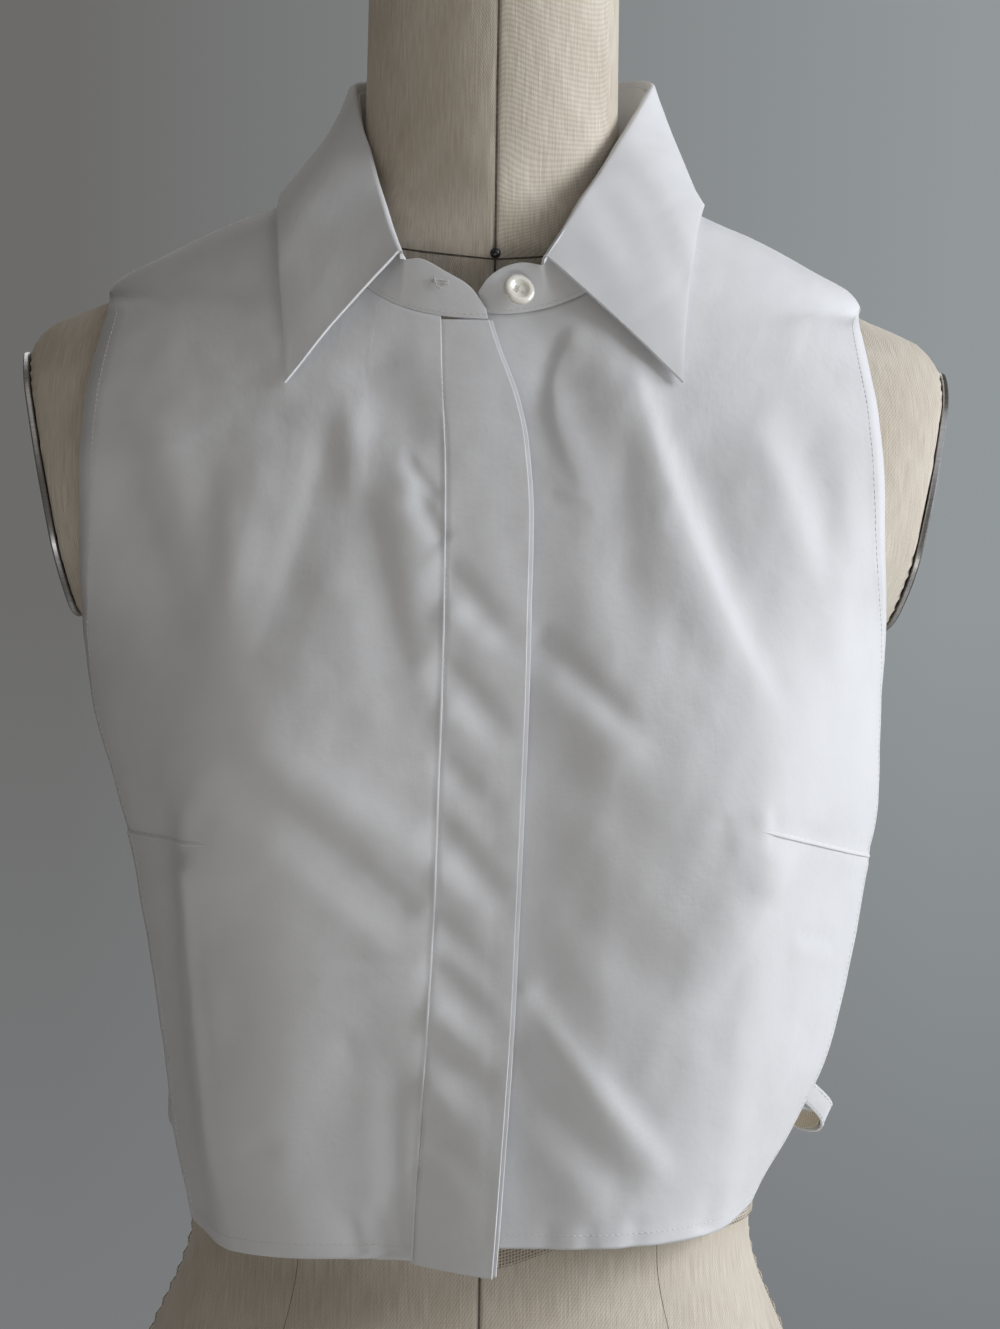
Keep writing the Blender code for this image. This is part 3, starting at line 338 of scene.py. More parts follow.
# The backdrop is painted light: it goes from dark to light between these x directions, brighter
# towards the key light's side, and low between these z ones.
WALL_SPREAD, WALL_LOW = (-0.10, 0.19), (0.02, -0.22)

# --- creases, in millimetres of the front view: start, middle, end, half width, height ----------
# rise and fade are the shares of its length over which a crease swells and dies away; lean makes
# its left side (looking along it) narrower (positive) or wider (negative) than its right side.
Crease = namedtuple("Crease", "x0 z0 x1 z1 x2 z2 width height rise fade lean")
RIGHT_CREASES = rows_of(
    Crease,
    (-52, 574, -40, 550, -24, 522, 8.0, -1.9, 0.3, 0.4, 0.0),
    (-146, 533, -124, 482, -101, 432, 6.5, -2.2, 0.2, 0.35, 0.2),
    (-138, 550, -112, 500, -90, 446, 7.5, 1.8, 0.25, 0.4, -0.2),
    (-107, 536, -105, 495, -101, 455, 5.0, -1.3, 0.4, 0.4, 0.3),
    (-82, 546, -93, 500, -98, 450, 6.5, 1.5, 0.4, 0.4, 0.2),
    (-60, 545, -70, 500, -90, 436, 5.5, -1.7, 0.25, 0.4, -0.3),
    (-54, 560, -54, 530, -56, 500, 4.0, 1.1, 0.4, 0.5, 0.0),
    (-53, 524, -41, 480, -27, 418, 6.0, -1.8, 0.25, 0.4, 0.3),
    (-44, 545, -32, 510, -27, 470, 5.0, 1.0, 0.4, 0.5, 0.0),
    (-35, 532, -28, 521, -20, 511, 2.2, -0.8, 0.3, 0.2, 0.3),
    (-31, 518, -25, 508, -18, 496, 2.4, -0.8, 0.4, 0.1, 0.3),
    (-98, 413, -58, 386, -20, 349, 6.0, -2.0, 0.25, 0.2, 0.3),
    (-96, 424, -52, 400, -18, 366, 7.0, 1.5, 0.3, 0.3, 0.2),
    (-90, 396, -52, 366, -22, 332, 7.0, 1.1, 0.3, 0.3, -0.2),
    (-99, 401, -98, 390, -98, 376, 2.8, -0.7, 0.3, 0.5, 0.0),
    (-109, 397, -106, 389, -104, 381, 2.6, 0.6, 0.4, 0.4, 0.0),
    (-103, 382, -102, 325, -90, 240, 4.5, 2.3, 0.08, 0.2, 0.45),
    (-94, 374, -93, 325, -82, 262, 6.0, -1.1, 0.2, 0.4, 0.0),
    (-118, 372, -119, 320, -108, 262, 6.0, -1.2, 0.2, 0.3, 0.0),
    (-73, 346, -48, 344, -22, 345, 1.6, -0.2, 0.3, 0.3, 0.0),
    (-86, 334, -84, 320, -81, 305, 3.0, -0.7, 0.4, 0.5, 0.2),
    (-53, 323, -50, 310, -45, 295, 3.0, -0.6, 0.4, 0.5, 0.2),
    (-86, 271, -78, 272, -70, 270, 2.2, -0.6, 0.4, 0.4, 0.0),
    (-62, 300, -60, 270, -55, 240, 6.0, -0.8, 0.4, 0.3, 0.0),
    (-46, 340, -44, 285, -40, 225, 15.0, -4.2, 0.5, 0.01, 0.0),
    (-50, 252, -48, 243, -45, 233, 2.4, -0.9, 0.5, 0.05, 0.2),
    (-42, 254, -39, 244, -35, 233, 2.6, -1.0, 0.5, 0.05, 0.2),
    (-36, 261, -33, 248, -30, 233, 2.4, -0.9, 0.5, 0.05, 0.2),
    (-32, 310, -33, 270, -30, 234, 3.0, -1.0, 0.4, 0.1, 0.3),
    (-40, 312, -41, 275, -38, 240, 5.0, 0.8, 0.4, 0.3, 0.0),
    (-22, 492, -8, 476, 12, 452, 4.2, -1.5, 0.25, 0.5, 0.25),
    (-21, 476, -8, 463, 10, 446, 4.4, 1.0, 0.25, 0.5, 0.0),
    (-23, 457, -8, 441, 11, 418, 4.2, -1.6, 0.25, 0.5, 0.25),
    (-22, 438, -9, 427, 7, 410, 4.2, 0.9, 0.25, 0.6, 0.0),
    (-22, 421, -10, 409, 6, 394, 3.4, -1.0, 0.25, 0.6, 0.2),
    (-24, 398, -8, 381, 11, 356, 4.2, -1.7, 0.25, 0.5, 0.25),
    (-23, 381, -10, 368, 8, 348, 4.2, 1.1, 0.25, 0.6, 0.0),
    (-24, 364, -13, 353, 3, 337, 3.4, -1.2, 0.25, 0.6, 0.2),
    (-25, 345, -10, 332, 9, 312, 3.8, -1.5, 0.25, 0.5, 0.25),
    (-25, 328, -12, 318, 5, 303, 3.8, 0.9, 0.25, 0.6, 0.0),
    (-26, 316, -10, 304, 9, 287, 4.0, -1.6, 0.25, 0.5, 0.2),
    (-26, 300, -13, 290, 3, 276, 4.0, 0.9, 0.25, 0.6, 0.0),
    (-27, 288, -15, 277, 0, 262, 3.6, -1.4, 0.25, 0.6, 0.2),
    (-28, 270, -18, 260, -5, 246, 3.4, -1.1, 0.25, 0.6, 0.2),
)
LEFT_CREASES = rows_of(
    Crease,
    (35, 584, 22, 551, 38, 512, 3.2, 1.5, 0.2, 0.4, -0.4),
    (26, 582, 24, 563, 26, 548, 5.0, -1.6, 0.3, 0.5, 0.0),
    (18, 516, 27, 512, 38, 508, 2.2, -0.4, 0.2, 0.4, 0.2),
    (49, 550, 47, 500, 54, 452, 7.0, -1.8, 0.3, 0.4, 0.2),
    (49, 572, 68, 508, 112, 412, 6.5, 2.3, 0.2, 0.3, 0.35),
    (72, 545, 84, 500, 112, 436, 7.0, -1.7, 0.3, 0.3, 0.0),
    (92, 556, 111, 510, 128, 460, 5.5, 1.4, 0.3, 0.4, 0.2),
    (112, 560, 124, 520, 134, 480, 5.0, -1.0, 0.3, 0.4, 0.0),
    (136, 540, 132, 480, 134, 430, 5.0, 1.0, 0.3, 0.4, 0.0),
    (13, 466, 36, 445, 56, 425, 4.0, -1.8, 0.1, 0.4, 0.35),
    (14, 452, 36, 432, 58, 414, 5.5, 1.5, 0.2, 0.4, 0.0),
    (64, 480, 66, 464, 64, 446, 3.4, -0.4, 0.4, 0.4, 0.0),
    (16, 424, 40, 404, 66, 392, 6.0, -1.0, 0.2, 0.5, 0.0),
    (82, 402, 83, 390, 87, 374, 3.0, -0.5, 0.3, 0.5, 0.2),
    (98, 404, 97, 396, 100, 386, 2.6, 0.5, 0.4, 0.4, 0.0),
    (104, 402, 102, 394, 103, 384, 2.4, -0.6, 0.3, 0.5, -0.2),
    (108, 388, 96, 362, 78, 328, 6.0, 2.0, 0.15, 0.4, 0.3),
    (101, 376, 92, 345, 76, 304, 5.5, -1.6, 0.2, 0.4, 0.0),
    (118, 372, 116, 320, 106, 270, 6.5, 1.2, 0.3, 0.4, 0.2),
    (9, 337, 38, 298, 72, 255, 6.0, 2.3, 0.1, 0.25, 0.35),
    (9, 319, 34, 283, 60, 252, 4.8, -1.6, 0.1, 0.35, 0.2),
    (12, 290, 30, 266, 46, 246, 5.0, 1.0, 0.2, 0.4, 0.0),
    (22, 380, 48, 350, 78, 312, 7.0, -1.0, 0.3, 0.4, 0.0),
    (115, 352, 124, 351, 136, 347, 1.6, -0.7, 0.3, 0.1, 0.3),
    (112, 347, 123, 346, 135, 343, 1.8, 0.5, 0.3, 0.1, 0.0),
    (24, 248, 24, 242, 24, 234, 2.2, -0.5, 0.5, 0.05, 0.0),
    (40, 250, 39, 243, 39, 234, 2.4, -0.6, 0.5, 0.05, 0.0),
    (57, 252, 56, 245, 55, 236, 2.4, -0.5, 0.5, 0.05, 0.0),
    (88, 262, 84, 252, 82, 240, 3.0, -0.7, 0.5, 0.05, 0.0),
)
BACK_CREASES = rows_of(
    Crease,
    (-120, 560, -96, 510, -70, 455, 8.0, -1.6, 0.3, 0.4, 0.2),
    (-96, 585, -74, 530, -58, 470, 7.5, 1.5, 0.3, 0.4, -0.2),
    (118, 565, 98, 505, 76, 440, 8.0, -1.6, 0.3, 0.4, 0.2),
    (92, 590, 78, 540, 52, 480, 7.0, 1.4, 0.3, 0.4, 0.0),
    (-30, 610, -28, 560, -36, 505, 8.0, -1.1, 0.4, 0.5, 0.0),
    (22, 600, 26, 545, 18, 490, 8.0, 1.0, 0.4, 0.5, 0.0),
    (-130, 470, -90, 430, -45, 380, 8.0, 1.8, 0.2, 0.4, 0.3),
    (-128, 450, -92, 412, -50, 360, 7.0, -1.5, 0.2, 0.4, 0.0),
    (132, 455, 92, 405, 40, 362, 8.0, 1.7, 0.2, 0.4, 0.3),
    (128, 432, 95, 388, 52, 344, 7.0, -1.4, 0.2, 0.4, 0.0),
    (-112, 330, -78, 300, -50, 262, 6.0, -1.2, 0.2, 0.4, 0.2),
    (110, 335, 76, 296, 44, 258, 6.0, 1.3, 0.2, 0.4, 0.2),
    (-20, 380, -14, 320, -22, 262, 8.0, 1.2, 0.3, 0.3, 0.0),
    (8, 350, 14, 300, 10, 250, 6.0, -1.1, 0.3, 0.2, 0.0),
    (-60, 262, -58, 252, -58, 240, 3.0, -0.7, 0.5, 0.05, 0.0),
    (66, 264, 64, 252, 62, 240, 3.0, -0.7, 0.5, 0.05, 0.0),
)
# The wearer's left strap: points on its line, then the direction of its width.
LoopRow = namedtuple("LoopRow", "x y z across_x across_y across_z")
LOOP_ROWS = rows_of(
    LoopRow,
    (0.1200, -0.0345, 0.2900, 0.25, 0.20, 0.95),
    (0.1275, -0.0330, 0.2885, 0.35, 0.25, 0.90),
    (0.1335, -0.0285, 0.2835, 0.50, 0.30, 0.80),
    (0.1395, -0.0230, 0.2775, 0.55, 0.30, 0.78),
    (0.1408, -0.0195, 0.2740, 0.45, 0.30, 0.84),
    (0.1390, -0.0150, 0.2712, 0.25, 0.30, 0.92),
    (0.1340, -0.0080, 0.2705, 0.12, 0.20, 0.97),
    (0.1285, 0.0040, 0.2725, 0.05, 0.10, 0.99),
    (0.1245, 0.0200, 0.2740, 0.00, 0.00, 1.00),
    (0.1200, 0.0345, 0.2740, 0.00, 0.00, 1.00),
)
# A dart is a short sewn fold from the side edge to its tip: x and z of both ends.
Dart = namedtuple("Dart", "edge_x edge_z tip_x tip_z")
DARTS = {
    WEARERS_RIGHT: Dart(-140, 384.0, -102, 384.0),
    WEARERS_LEFT: Dart(154, 379.0, 98, 393.0),
}


# --- grids of points --------------------------------------------------------------------------
def crowded(count, peaks=()):
    """count + 1 values from 0 to 1, drawn together round each (place, reach, pull)."""
    fine = np.linspace(0, 1, 2001)
    density = np.ones_like(fine)
    for place, reach, pull in peaks:
        density += pull * np.exp(-(((fine - place) / reach) ** 2))
    total = np.concatenate([[0], np.cumsum((density[1:] + density[:-1]) / 2)])
    return np.interp(np.linspace(0, total[-1], count + 1), total, fine)


def soft_step(low, high, values):
    t = np.clip((values - low) / (high - low), 0.0, 1.0)
    return t * t * (3 - 2 * t)


def grid_normals(grid):
    """Unit normals of a grid of points, turned away from the body's axis."""
    normals = np.cross(np.gradient(grid, axis=1), np.gradient(grid, axis=0))
    normals /= np.maximum(np.linalg.norm(normals, axis=2, keepdims=True), 1e-12)
    outwards = (normals[..., :2] * grid[..., :2]).sum()
    return normals if outwards > 0 else -normals


def lengths_along(grid, axis):
    """How far each point lies along its row (axis 1) or its column (axis 0)."""
    steps = np.linalg.norm(np.diff(grid, axis=axis), axis=2)
    first = np.zeros_like(np.take(steps, [0], axis=axis))
    return np.concatenate([first, np.cumsum(steps, axis=axis)], axis=axis)


def crease_line(crease, steps=16):
    """Points of the parabola through a crease's start, middle and end."""
    t = np.linspace(0, 1, steps + 1)
    weights = ((1 - t) * (1 - 2 * t), 4 * t * (1 - t), t * (2 * t - 1))
    ends = ((crease.x0, crease.z0), (crease.x1, crease.z1), (crease.x2, crease.z2))
    return sum(np.outer(w, end) for w, end in zip(weights, ends)) * MM


def crease_field(creases, x, z):
    """How far the creases raise the cloth at each point of the front view."""
    total = np.zeros_like(x)
    place = np.stack([x, z], axis=-1)
    for crease in creases:
        line = crease_line(crease)
        reach = 3.2 * CREASE_SPREAD * crease.width * MM
        low, high = line.min(axis=0) - reach, line.max(axis=0) + reach
        near = ((place > low) & (place < high)).all(axis=-1)
        if not near.any():
            continue
        points = place[near]
        best = np.full(len(points), np.inf)
        side, share = np.zeros(len(points)), np.zeros(len(points))
        steps = len(line) - 1
        for i in range(steps):
            run = line[i + 1] - line[i]
            t = np.clip(((points - line[i]) @ run) / (run @ run), 0, 1)
            gap = points - line[i] - t[:, None] * run
            distance = np.hypot(gap[:, 0], gap[:, 1])
            closer = distance < best
            best = np.where(closer, distance, best)
            side = np.where(closer, np.sign(run[0] * gap[:, 1] - run[1] * gap[:, 0]), side)
            share = np.where(closer, (i + t) / steps, share)
        swell = soft_step(0, crease.rise, share) * soft_step(0, crease.fade, 1 - share)
        width = CREASE_SPREAD * crease.width * MM * (1 - crease.lean * side)
        height = CREASE_STRENGTH * crease.height * MM
        total[near] += height * swell * np.exp(-((best / width) ** 2))
    return total


def rumple(x, z, seed, height=0.000025, shortest=0.011, longest=0.040, waves=26):
    """Faint unevenness of worn cloth: a few dozen shallow waves in all directions."""
    draw = np.random.default_rng(seed)
    total = np.zeros_like(x)
    for _ in range(waves):
        heading, phase = draw.uniform(0, math.pi), draw.uniform(0, 2 * math.pi)
        wave = draw.uniform(shortest, longest)
        gone = x * math.cos(heading) + z * math.sin(heading)
        total += np.sin(gone * 2 * math.pi / wave + phase)
    return total * height


def fullness(x, z):
    """The room that a dart gives: the front stays broad and flat from the centre out to the line of
    the dart's tip, and turns back sharply there below the dart, gently above it."""
    above = z - FULL_Z
    size = [np.where(x < 0, r, l) for r, l in zip(FULL[WEARERS_RIGHT], FULL[WEARERS_LEFT])]
    tip_x, rise, fall, outer = size
    away = np.abs(x) - tip_x - FULL_LEAN * np.minimum(above, 0)
    outer = outer + (FULL_OUTER_ABOVE - outer) * soft_step(-0.010, 0.060, above)
    across = np.where(away < 0, np.exp(-((away / FULL_INNER) ** 2)), np.exp(-((away / outer) ** 2)))
    fade = np.where(above < 0, 1 + fall * above, np.exp(-((above / FULL_ABOVE) ** 2)))
    return rise * across * fade


def hem_relief(distance, width=HEM_WIDTH, height=0.00018):
    """A turned edge: a soft step at its inner line, and the dip of the stitches beside it."""
    step = height * (1 - soft_step(width - 0.0010, width + 0.0016, distance))
    dip = 0.00008 * np.exp(-(((distance - width + 0.0014) / 0.0006) ** 2))
    return step - dip


def dart_relief(dart, x, z):
    """A sewn fold: a short step, whose lower side stands out past its upper one."""
    along_x = (x - dart.edge_x * MM) / ((dart.tip_x - dart.edge_x) * MM)
    line_z = (dart.edge_z + (dart.tip_z - dart.edge_z) * np.clip(along_x, 0, 1)) * MM
    up = z - line_z
    body = 1 - soft_step(0.75, 1.02, along_x)
    lip = 0.0004 * np.exp(-((np.minimum(up, 0) / 0.0060) ** 2))
    inner = -0.0004 * np.exp(-((np.maximum(up, 0) / 0.0060) ** 2))
    return body * (lip + (inner - lip) * soft_step(-0.0015, 0.0015, up))


# --- meshes -----------------------------------------------------------------------------------
def link(made, finish):
    made.data.materials.append(finish)
    bpy.context.scene.collection.objects.link(made)
    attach(made, "root")
    return made


def grid_object(name, grid, finish, wall=0.0, rounding=0.0, closed=False):
    """A mesh over a grid of points with a map of its own lengths in metres, for the weave. wall
    thickens it inwards, and closed joins the last column to the first: its map starts halfway."""
    rows, columns = grid.shape[:2]
    numbers = np.arange(rows * columns).reshape(rows, columns)
    after = np.roll(numbers, -1, axis=1) if closed else numbers[:, 1:]
    here = numbers if closed else numbers[:, :-1]
    faces = np.stack([here[:-1], after[:-1], after[1:], here[1:]], axis=-1).reshape(-1, 4)
    along_rows = lengths_along(grid, 1)
    if closed:
        along_rows = along_rows - along_rows[:, [columns // 2]]
    across, up = along_rows.ravel()[faces], lengths_along(grid, 0).ravel()[faces]
    if closed:
        last = faces[:, 0] % columns == columns - 1
        gap = np.linalg.norm(grid[:, 0] - grid[:, -1], axis=1)
        across[last, 1] = across[last, 0] + gap[:-1]
        across[last, 2] = across[last, 3] + gap[1:]
    if (grid_face_normals(grid, faces) * grid.reshape(-1, 3)[faces[:, 0]])[:, :2].sum() < 0:
        faces, across, up = faces[:, ::-1], across[:, ::-1], up[:, ::-1]
    mesh = bpy.data.meshes.new(name)
    mesh.from_pydata(grid.reshape(-1, 3).tolist(), [], faces.tolist())
    weave = mesh.uv_layers.new(name="weave")
    weave.data.foreach_set("uv", np.stack([across, up], axis=-1).astype(np.float32).ravel())
    mesh.shade_smooth()
    made = link(bpy.data.objects.new(name, mesh), finish)
    if wall:
        shell = made.modifiers.new("wall", "SOLIDIFY")
        shell.thickness, shell.offset = wall, -1.0
    if rounding:
        mesh.set_sharp_from_angle(angle=math.radians(50))
        soft = made.modifiers.new("soft_edge", "BEVEL")
        soft.width, soft.segments, soft.limit_method = rounding, 3, "ANGLE"
        soft.angle_limit = math.radians(60)
        soft.harden_normals = False
    return made


def grid_face_normals(grid, faces):
    points = grid.reshape(-1, 3)
    a, b, c = (points[faces[:, i]] for i in (0, 1, 2))
    return np.cross(b - a, c - a)


# --- curves through a table -----------------------------------------------------------------
def smooth_column(rows, column, key="z"):
    """The named column as a smooth function of the key one, never overshooting between rows."""
    levels = [getattr(row, key) for row in rows]
    values = [getattr(row, column) for row in rows]
    steps = [b - a for a, b in zip(levels, levels[1:])]
    rates = [(b - a) / h for a, b, h in zip(values, values[1:], steps)]
    slopes = [rates[0]]
    for left, right in zip(rates, rates[1:]):
        slopes.append(0.0 if left * right <= 0 else 2 * left * right / (left + right))
    slopes.append(rates[-1])

    def value(at):
        i = min(max(bisect_right(levels, at) - 1, 0), len(steps) - 1)
        t = min(max((at - levels[i]) / steps[i], 0.0), 1.0)
        return hermite(values[i], values[i + 1], slopes[i] * steps[i], slopes[i + 1] * steps[i], t)

    return value


def hermite(a, b, slope_a, slope_b, t):
    left = (1 + 2 * t) * (1 - t) ** 2 * a + t * (1 - t) ** 2 * slope_a
    return left + t * t * (3 - 2 * t) * b + t * t * (t - 1) * slope_b


def along(points, position):
    """The point at position (0 .. 1) of a smooth curve through points of any dimension."""
    place = position * (len(points) - 1)
    i = min(int(place), len(points) - 2)
    before, after = max(i - 1, 0), min(i + 2, len(points) - 1)
    curve = []
    for p, a, b, n in zip(points[before], points[i], points[i + 1], points[after]):
        slope_a = (b - p) / (i + 1 - before)
        slope_b = (n - a) / (after - i)
        curve.append(hermite(a, b, slope_a, slope_b, place - i))
    return tuple(curve)


def mix(a, b, t):
    return tuple(p + (q - p) * t for p, q in zip(a, b))


def smooth_step(low, high, value):
    t = min(max((value - low) / (high - low), 0.0), 1.0)
    return t * t * (3 - 2 * t)


def signed_power(base, exponent):
    return math.copysign(abs(base) ** exponent, base)


# --- the surface of the bib ---------------------------------------------------------------
class Surface:
    """Level superellipse sections; facing is -1 for the fronts and +1 for the back."""

    def __init__(self, rows, edge_column, side, facing):
        self.edge_x = smooth_column(rows, edge_column)
        self.edge_y = smooth_column(rows, "edge_y")
        self.depth = smooth_column(rows, "depth")
        self.power = smooth_column(rows, "power")
        self.side = side
        self.facing = facing

    def half_width(self, z):
        power = self.power(z)
        inset = (self.edge_y(z) / self.depth(z)) ** power
        return self.edge_x(z) / (1 - inset) ** (1 / power)

    def edge_turn(self, z):
        return math.acos((self.edge_y(z) / self.depth(z)) ** (self.power(z) / 2))

    def turn_at(self, x, z):
        """The turn of the point at x; x is positive towards this side."""
        ratio = max(-1.0, min(1.0, x / self.half_width(z)))
        return math.asin(signed_power(ratio, self.power(z) / 2))

    def share_at(self, x, z):
        """How far x lies from the centre line (0) to the side border (1), by turn."""
        return self.turn_at(x, z) / self.edge_turn(z)

    def at_share(self, share, z, drop=0.0):
        return self.point(share * self.edge_turn(z), z, drop)

    def point(self, turn, z, drop=0.0):
        power = 2 / self.power(z)
        x = self.half_width(z) * signed_power(math.sin(turn), power)
        y = (self.depth(z) - drop) * max(math.cos(turn), 0.0) ** power
        return (self.side * x, self.facing * y, z)


def front_surface(side):
    column = "right_x" if side == WEARERS_RIGHT else "left_x"
    return Surface(FRONT_ROWS, column, side, -1)


def neck_angle(side, x):
    """The parameter of the front neck seam where it passes x: 0 at the centre."""
    return math.asin(signed_power(x / SIDE_NECK_X, NECK_POWER[side] / 2))


def neck_turn(side, surface, angle):
    """(turn, z) of the front neck seam at its parameter, 90 degrees at the side of the neck."""
    power = NECK_POWER[side]
    x = SIDE_NECK_X * signed_power(math.sin(angle), 2 / power)
    rise = 1 - max(math.cos(angle), 0.0) ** (2 / power)
    z = NECK_FRONT_Z[side] + (SIDE_NECK_Z - NECK_FRONT_Z[side]) * rise
    return (surface.turn_at(x, z), z)


def back_neck_turn(share):
    """(turn, z) at a share of half the back neck seam, from the centre back to the side."""
    return (QUARTER * share, BACK_NECK_Z + (SIDE_NECK_Z - BACK_NECK_Z) * share**2)


def border_level(surface, hem_z, tip_share):
    """The height on the side border at a share of its way up. Up to the shoulder tip it follows the
    border's length, slowing towards the tip; above it, the shoulder seam's height."""
    samples = np.linspace(hem_z, SHOULDER_TIP_Z, BORDER_SAMPLES + 1)
    points = np.array([surface.at_share(1.0, z) for z in samples])
    lengths = np.concatenate([[0], np.cumsum(np.linalg.norm(np.diff(points, axis=0), axis=1))])

    def level(v):
        if v >= tip_share:
            rise = SIDE_NECK_Z - SHOULDER_TIP_Z
            return SHOULDER_TIP_Z + rise * (v - tip_share) / (1 - tip_share)
        wanted = lengths[-1] * (1 - (1 - v / tip_share) ** RUNG_CROWDING)
        return float(np.interp(wanted, lengths, samples))

    return level


def patch(bottom, top, start, end, us, vs):
    """A grid of (share, z) inside four border functions of 0 .. 1, blended from all of them."""
    corners = (bottom(0.0), bottom(1.0), top(0.0), top(1.0))
    low, high = [bottom(u) for u in us], [top(u) for u in us]
    grid = []
    for v in vs:
        first, last = start(v), end(v)
        row = []
        for u, below, above in zip(us, low, high):
            across = mix(below, above, v)
            up = mix(first, last, u)
            twice = mix(mix(corners[0], corners[1], u), mix(corners[2], corners[3], u), v)
            row.append(tuple(a + b - c for a, b, c in zip(across, up, twice)))
        grid.append(row)
    return grid


def placket_line(column):
    return smooth_column(PLACKET_ROWS, column)


# --- the dress form ---------------------------------------------------------------------------
def form_reader():
    columns = ("half_width", "front", "back", "power")
    return {column: smooth_column(FORM_ROWS, column) for column in columns}


def arm_plane_x(z):
    return ARM_PLANE_X + ARM_PLANE_SLOPE * (z - ARM_PLANE_Z) if z > ARM_PLANE_FOOT_Z else math.inf


def form_point(read, angle, z, proud=0.0):
    """A point on the torso; angle runs round it from the centre front."""
    power = 2 / read["power"](z)
    depth = read["front"](z) if math.cos(angle) > 0 else read["back"](z)
    x = (read["half_width"](z) + proud) * signed_power(math.sin(angle), power)
    y = -(depth + proud) * signed_power(math.cos(angle), power)
    limit = arm_plane_x(z)
    return (max(-limit, min(limit, x)), y, z)


def form_grid():
    """Rings from the flat base up to the rounded top of the neck."""
    read = form_reader()
    seams = [(0.0, 0.004, 9.0), (0.5, 0.004, 9.0), (1.0, 0.004, 9.0)]
    angles = 2 * math.pi * crowded(FORM_STEPS[0], seams)[:-1] - math.pi
    top = FORM_ROWS[-1].z
    rings = []
    for inset, z in ((0.100, 0.0), (0.080, 0.0), (0.0015, 0.0), (0.0003, 0.0008)):
        rings.append([form_point(read, a, z, -inset) for a in angles])
    for z in np.linspace(0.002, top, FORM_STEPS[1]):
        rings.append([form_point(read, a, z) for a in angles])
    for k in range(1, 6):
        turn = QUARTER * k / 5
        z = top + (FORM_HEIGHT - top) * math.sin(turn)
        inset = FORM_TOP_INSET * (1 - math.cos(turn))
        rings.append([(x, y, z) for x, y, _ in (form_point(read, a, top, -inset) for a in angles)])
    for inset in (0.020, 0.045):
        rings.append([(x, y, FORM_HEIGHT) for x, y, _ in
                      (form_point(read, a, top, -inset) for a in angles)])
    return np.array(rings)


def seam_grooves(grid):
    """Sinks the centre seams of the linen a little."""
    depth = 0.0005 * np.exp(-((grid[..., 0] / 0.0009) ** 2))
    wall = (grid[..., 2] > 0.002) & (grid[..., 2] < FORM_ROWS[-1].z + 0.001)
    return grid - grid_normals(grid) * (depth * wall)[..., None]


def make_torso():
    grid = seam_grooves(form_grid())
    made = grid_object("linen_torso", grid, linen(), closed=True)
    shape = bmesh.new()
    shape.from_mesh(made.data)
    shape.verts.ensure_lookup_table()
    columns, rows = grid.shape[1], grid.shape[0]
    for ring in (range(columns), range((rows - 1) * columns, rows * columns)):
        shape.faces.new([shape.verts[i] for i in ring])
    bmesh.ops.recalc_face_normals(shape, faces=shape.faces)
    shape.to_mesh(made.data)
    shape.free()
    made.data.set_sharp_from_angle(angle=math.radians(38))
    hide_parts("dress_form")
    return made


def form_line(places, proud=0.0):
    """Points on the torso and their normals, for (angle, z) places."""
    read = form_reader()
    points = np.array([form_point(read, angle, z, proud) for angle, z in places])
    outer = np.array([form_point(read, angle, z, proud + 0.004) for angle, z in places])
    away = outer - points
    return points, away / np.maximum(np.linalg.norm(away, axis=1, keepdims=True), 1e-9)


def neck_seam_z(angle):
    return NECK_SEAM_Z + NECK_SEAM_RISE * abs(math.sin(angle / 2)) ** 1.5


def make_form_seams():
    """Dark seam lines of painted shade: centre front and back, the neck's base, and the panels'
    seams.
    """
    strips = []
    for angle in (0.0, math.pi):
        heights = np.linspace(SEAM_FOOT_Z, CENTRE_SEAM_TOP_Z, 240)
        strips.append(([(angle, z) for z in heights], CENTRE_SEAM))
    ring = np.linspace(-math.pi, math.pi, 160)
    strips.append(([(angle, neck_seam_z(angle)) for angle in ring], NECK_SEAM))
    for side in (-1, 1):
        for start, end in PANEL_SEAM_ANGLES:
            heights = np.linspace(SEAM_FOOT_Z, PANEL_SEAM_TOP_Z, 160)
            bend = [(side * (start + (end - start) * z / PANEL_SEAM_TOP_Z), z) for z in heights]
            strips.append((bend, PANEL_SEAM))
    verts, faces = [], []
    for places, half in strips:
        points, away = form_line(places, 0.00006)
        run = np.gradient(points, axis=0)
        across = np.cross(away, run)
        across /= np.linalg.norm(across, axis=1, keepdims=True)
        first = len(verts)
        rails = (points - across * half, points + away * 0.00008, points + across * half)
        verts += [tuple(p) for trio in zip(*rails) for p in trio]
        for i in range(len(points) - 1):
            for k in range(2):
                a = first + 3 * i + k
                faces.append((a, a + 1, a + 4, a + 3))
    mesh = bpy.data.meshes.new("form_seam_lines")
    mesh.from_pydata(verts, [], faces)
    mesh.shade_smooth()
    return link(bpy.data.objects.new("form_seam_lines", mesh), painted_seam_shade())


def make_hip_whipstitch():
    """Coarse slanting stitches over the side seams of the linen."""
    runs = []
    for side in (-1, 1):
        for k in range(WHIP_STITCHES):
            z = WHIP_FOOT_Z + WHIP_PITCH * k
            places = [(side * (QUARTER + turn), z + rise) for turn, rise in
                      ((-0.030, 0.0), (0.0, 0.0022), (0.030, 0.0044))]
            points, away = form_line(places)
            runs.append((points + away * np.array([[0.0001], [0.0007], [0.0001]]), 0.00042))
    return thread_object("form_whipstitch", runs, linen_thread())


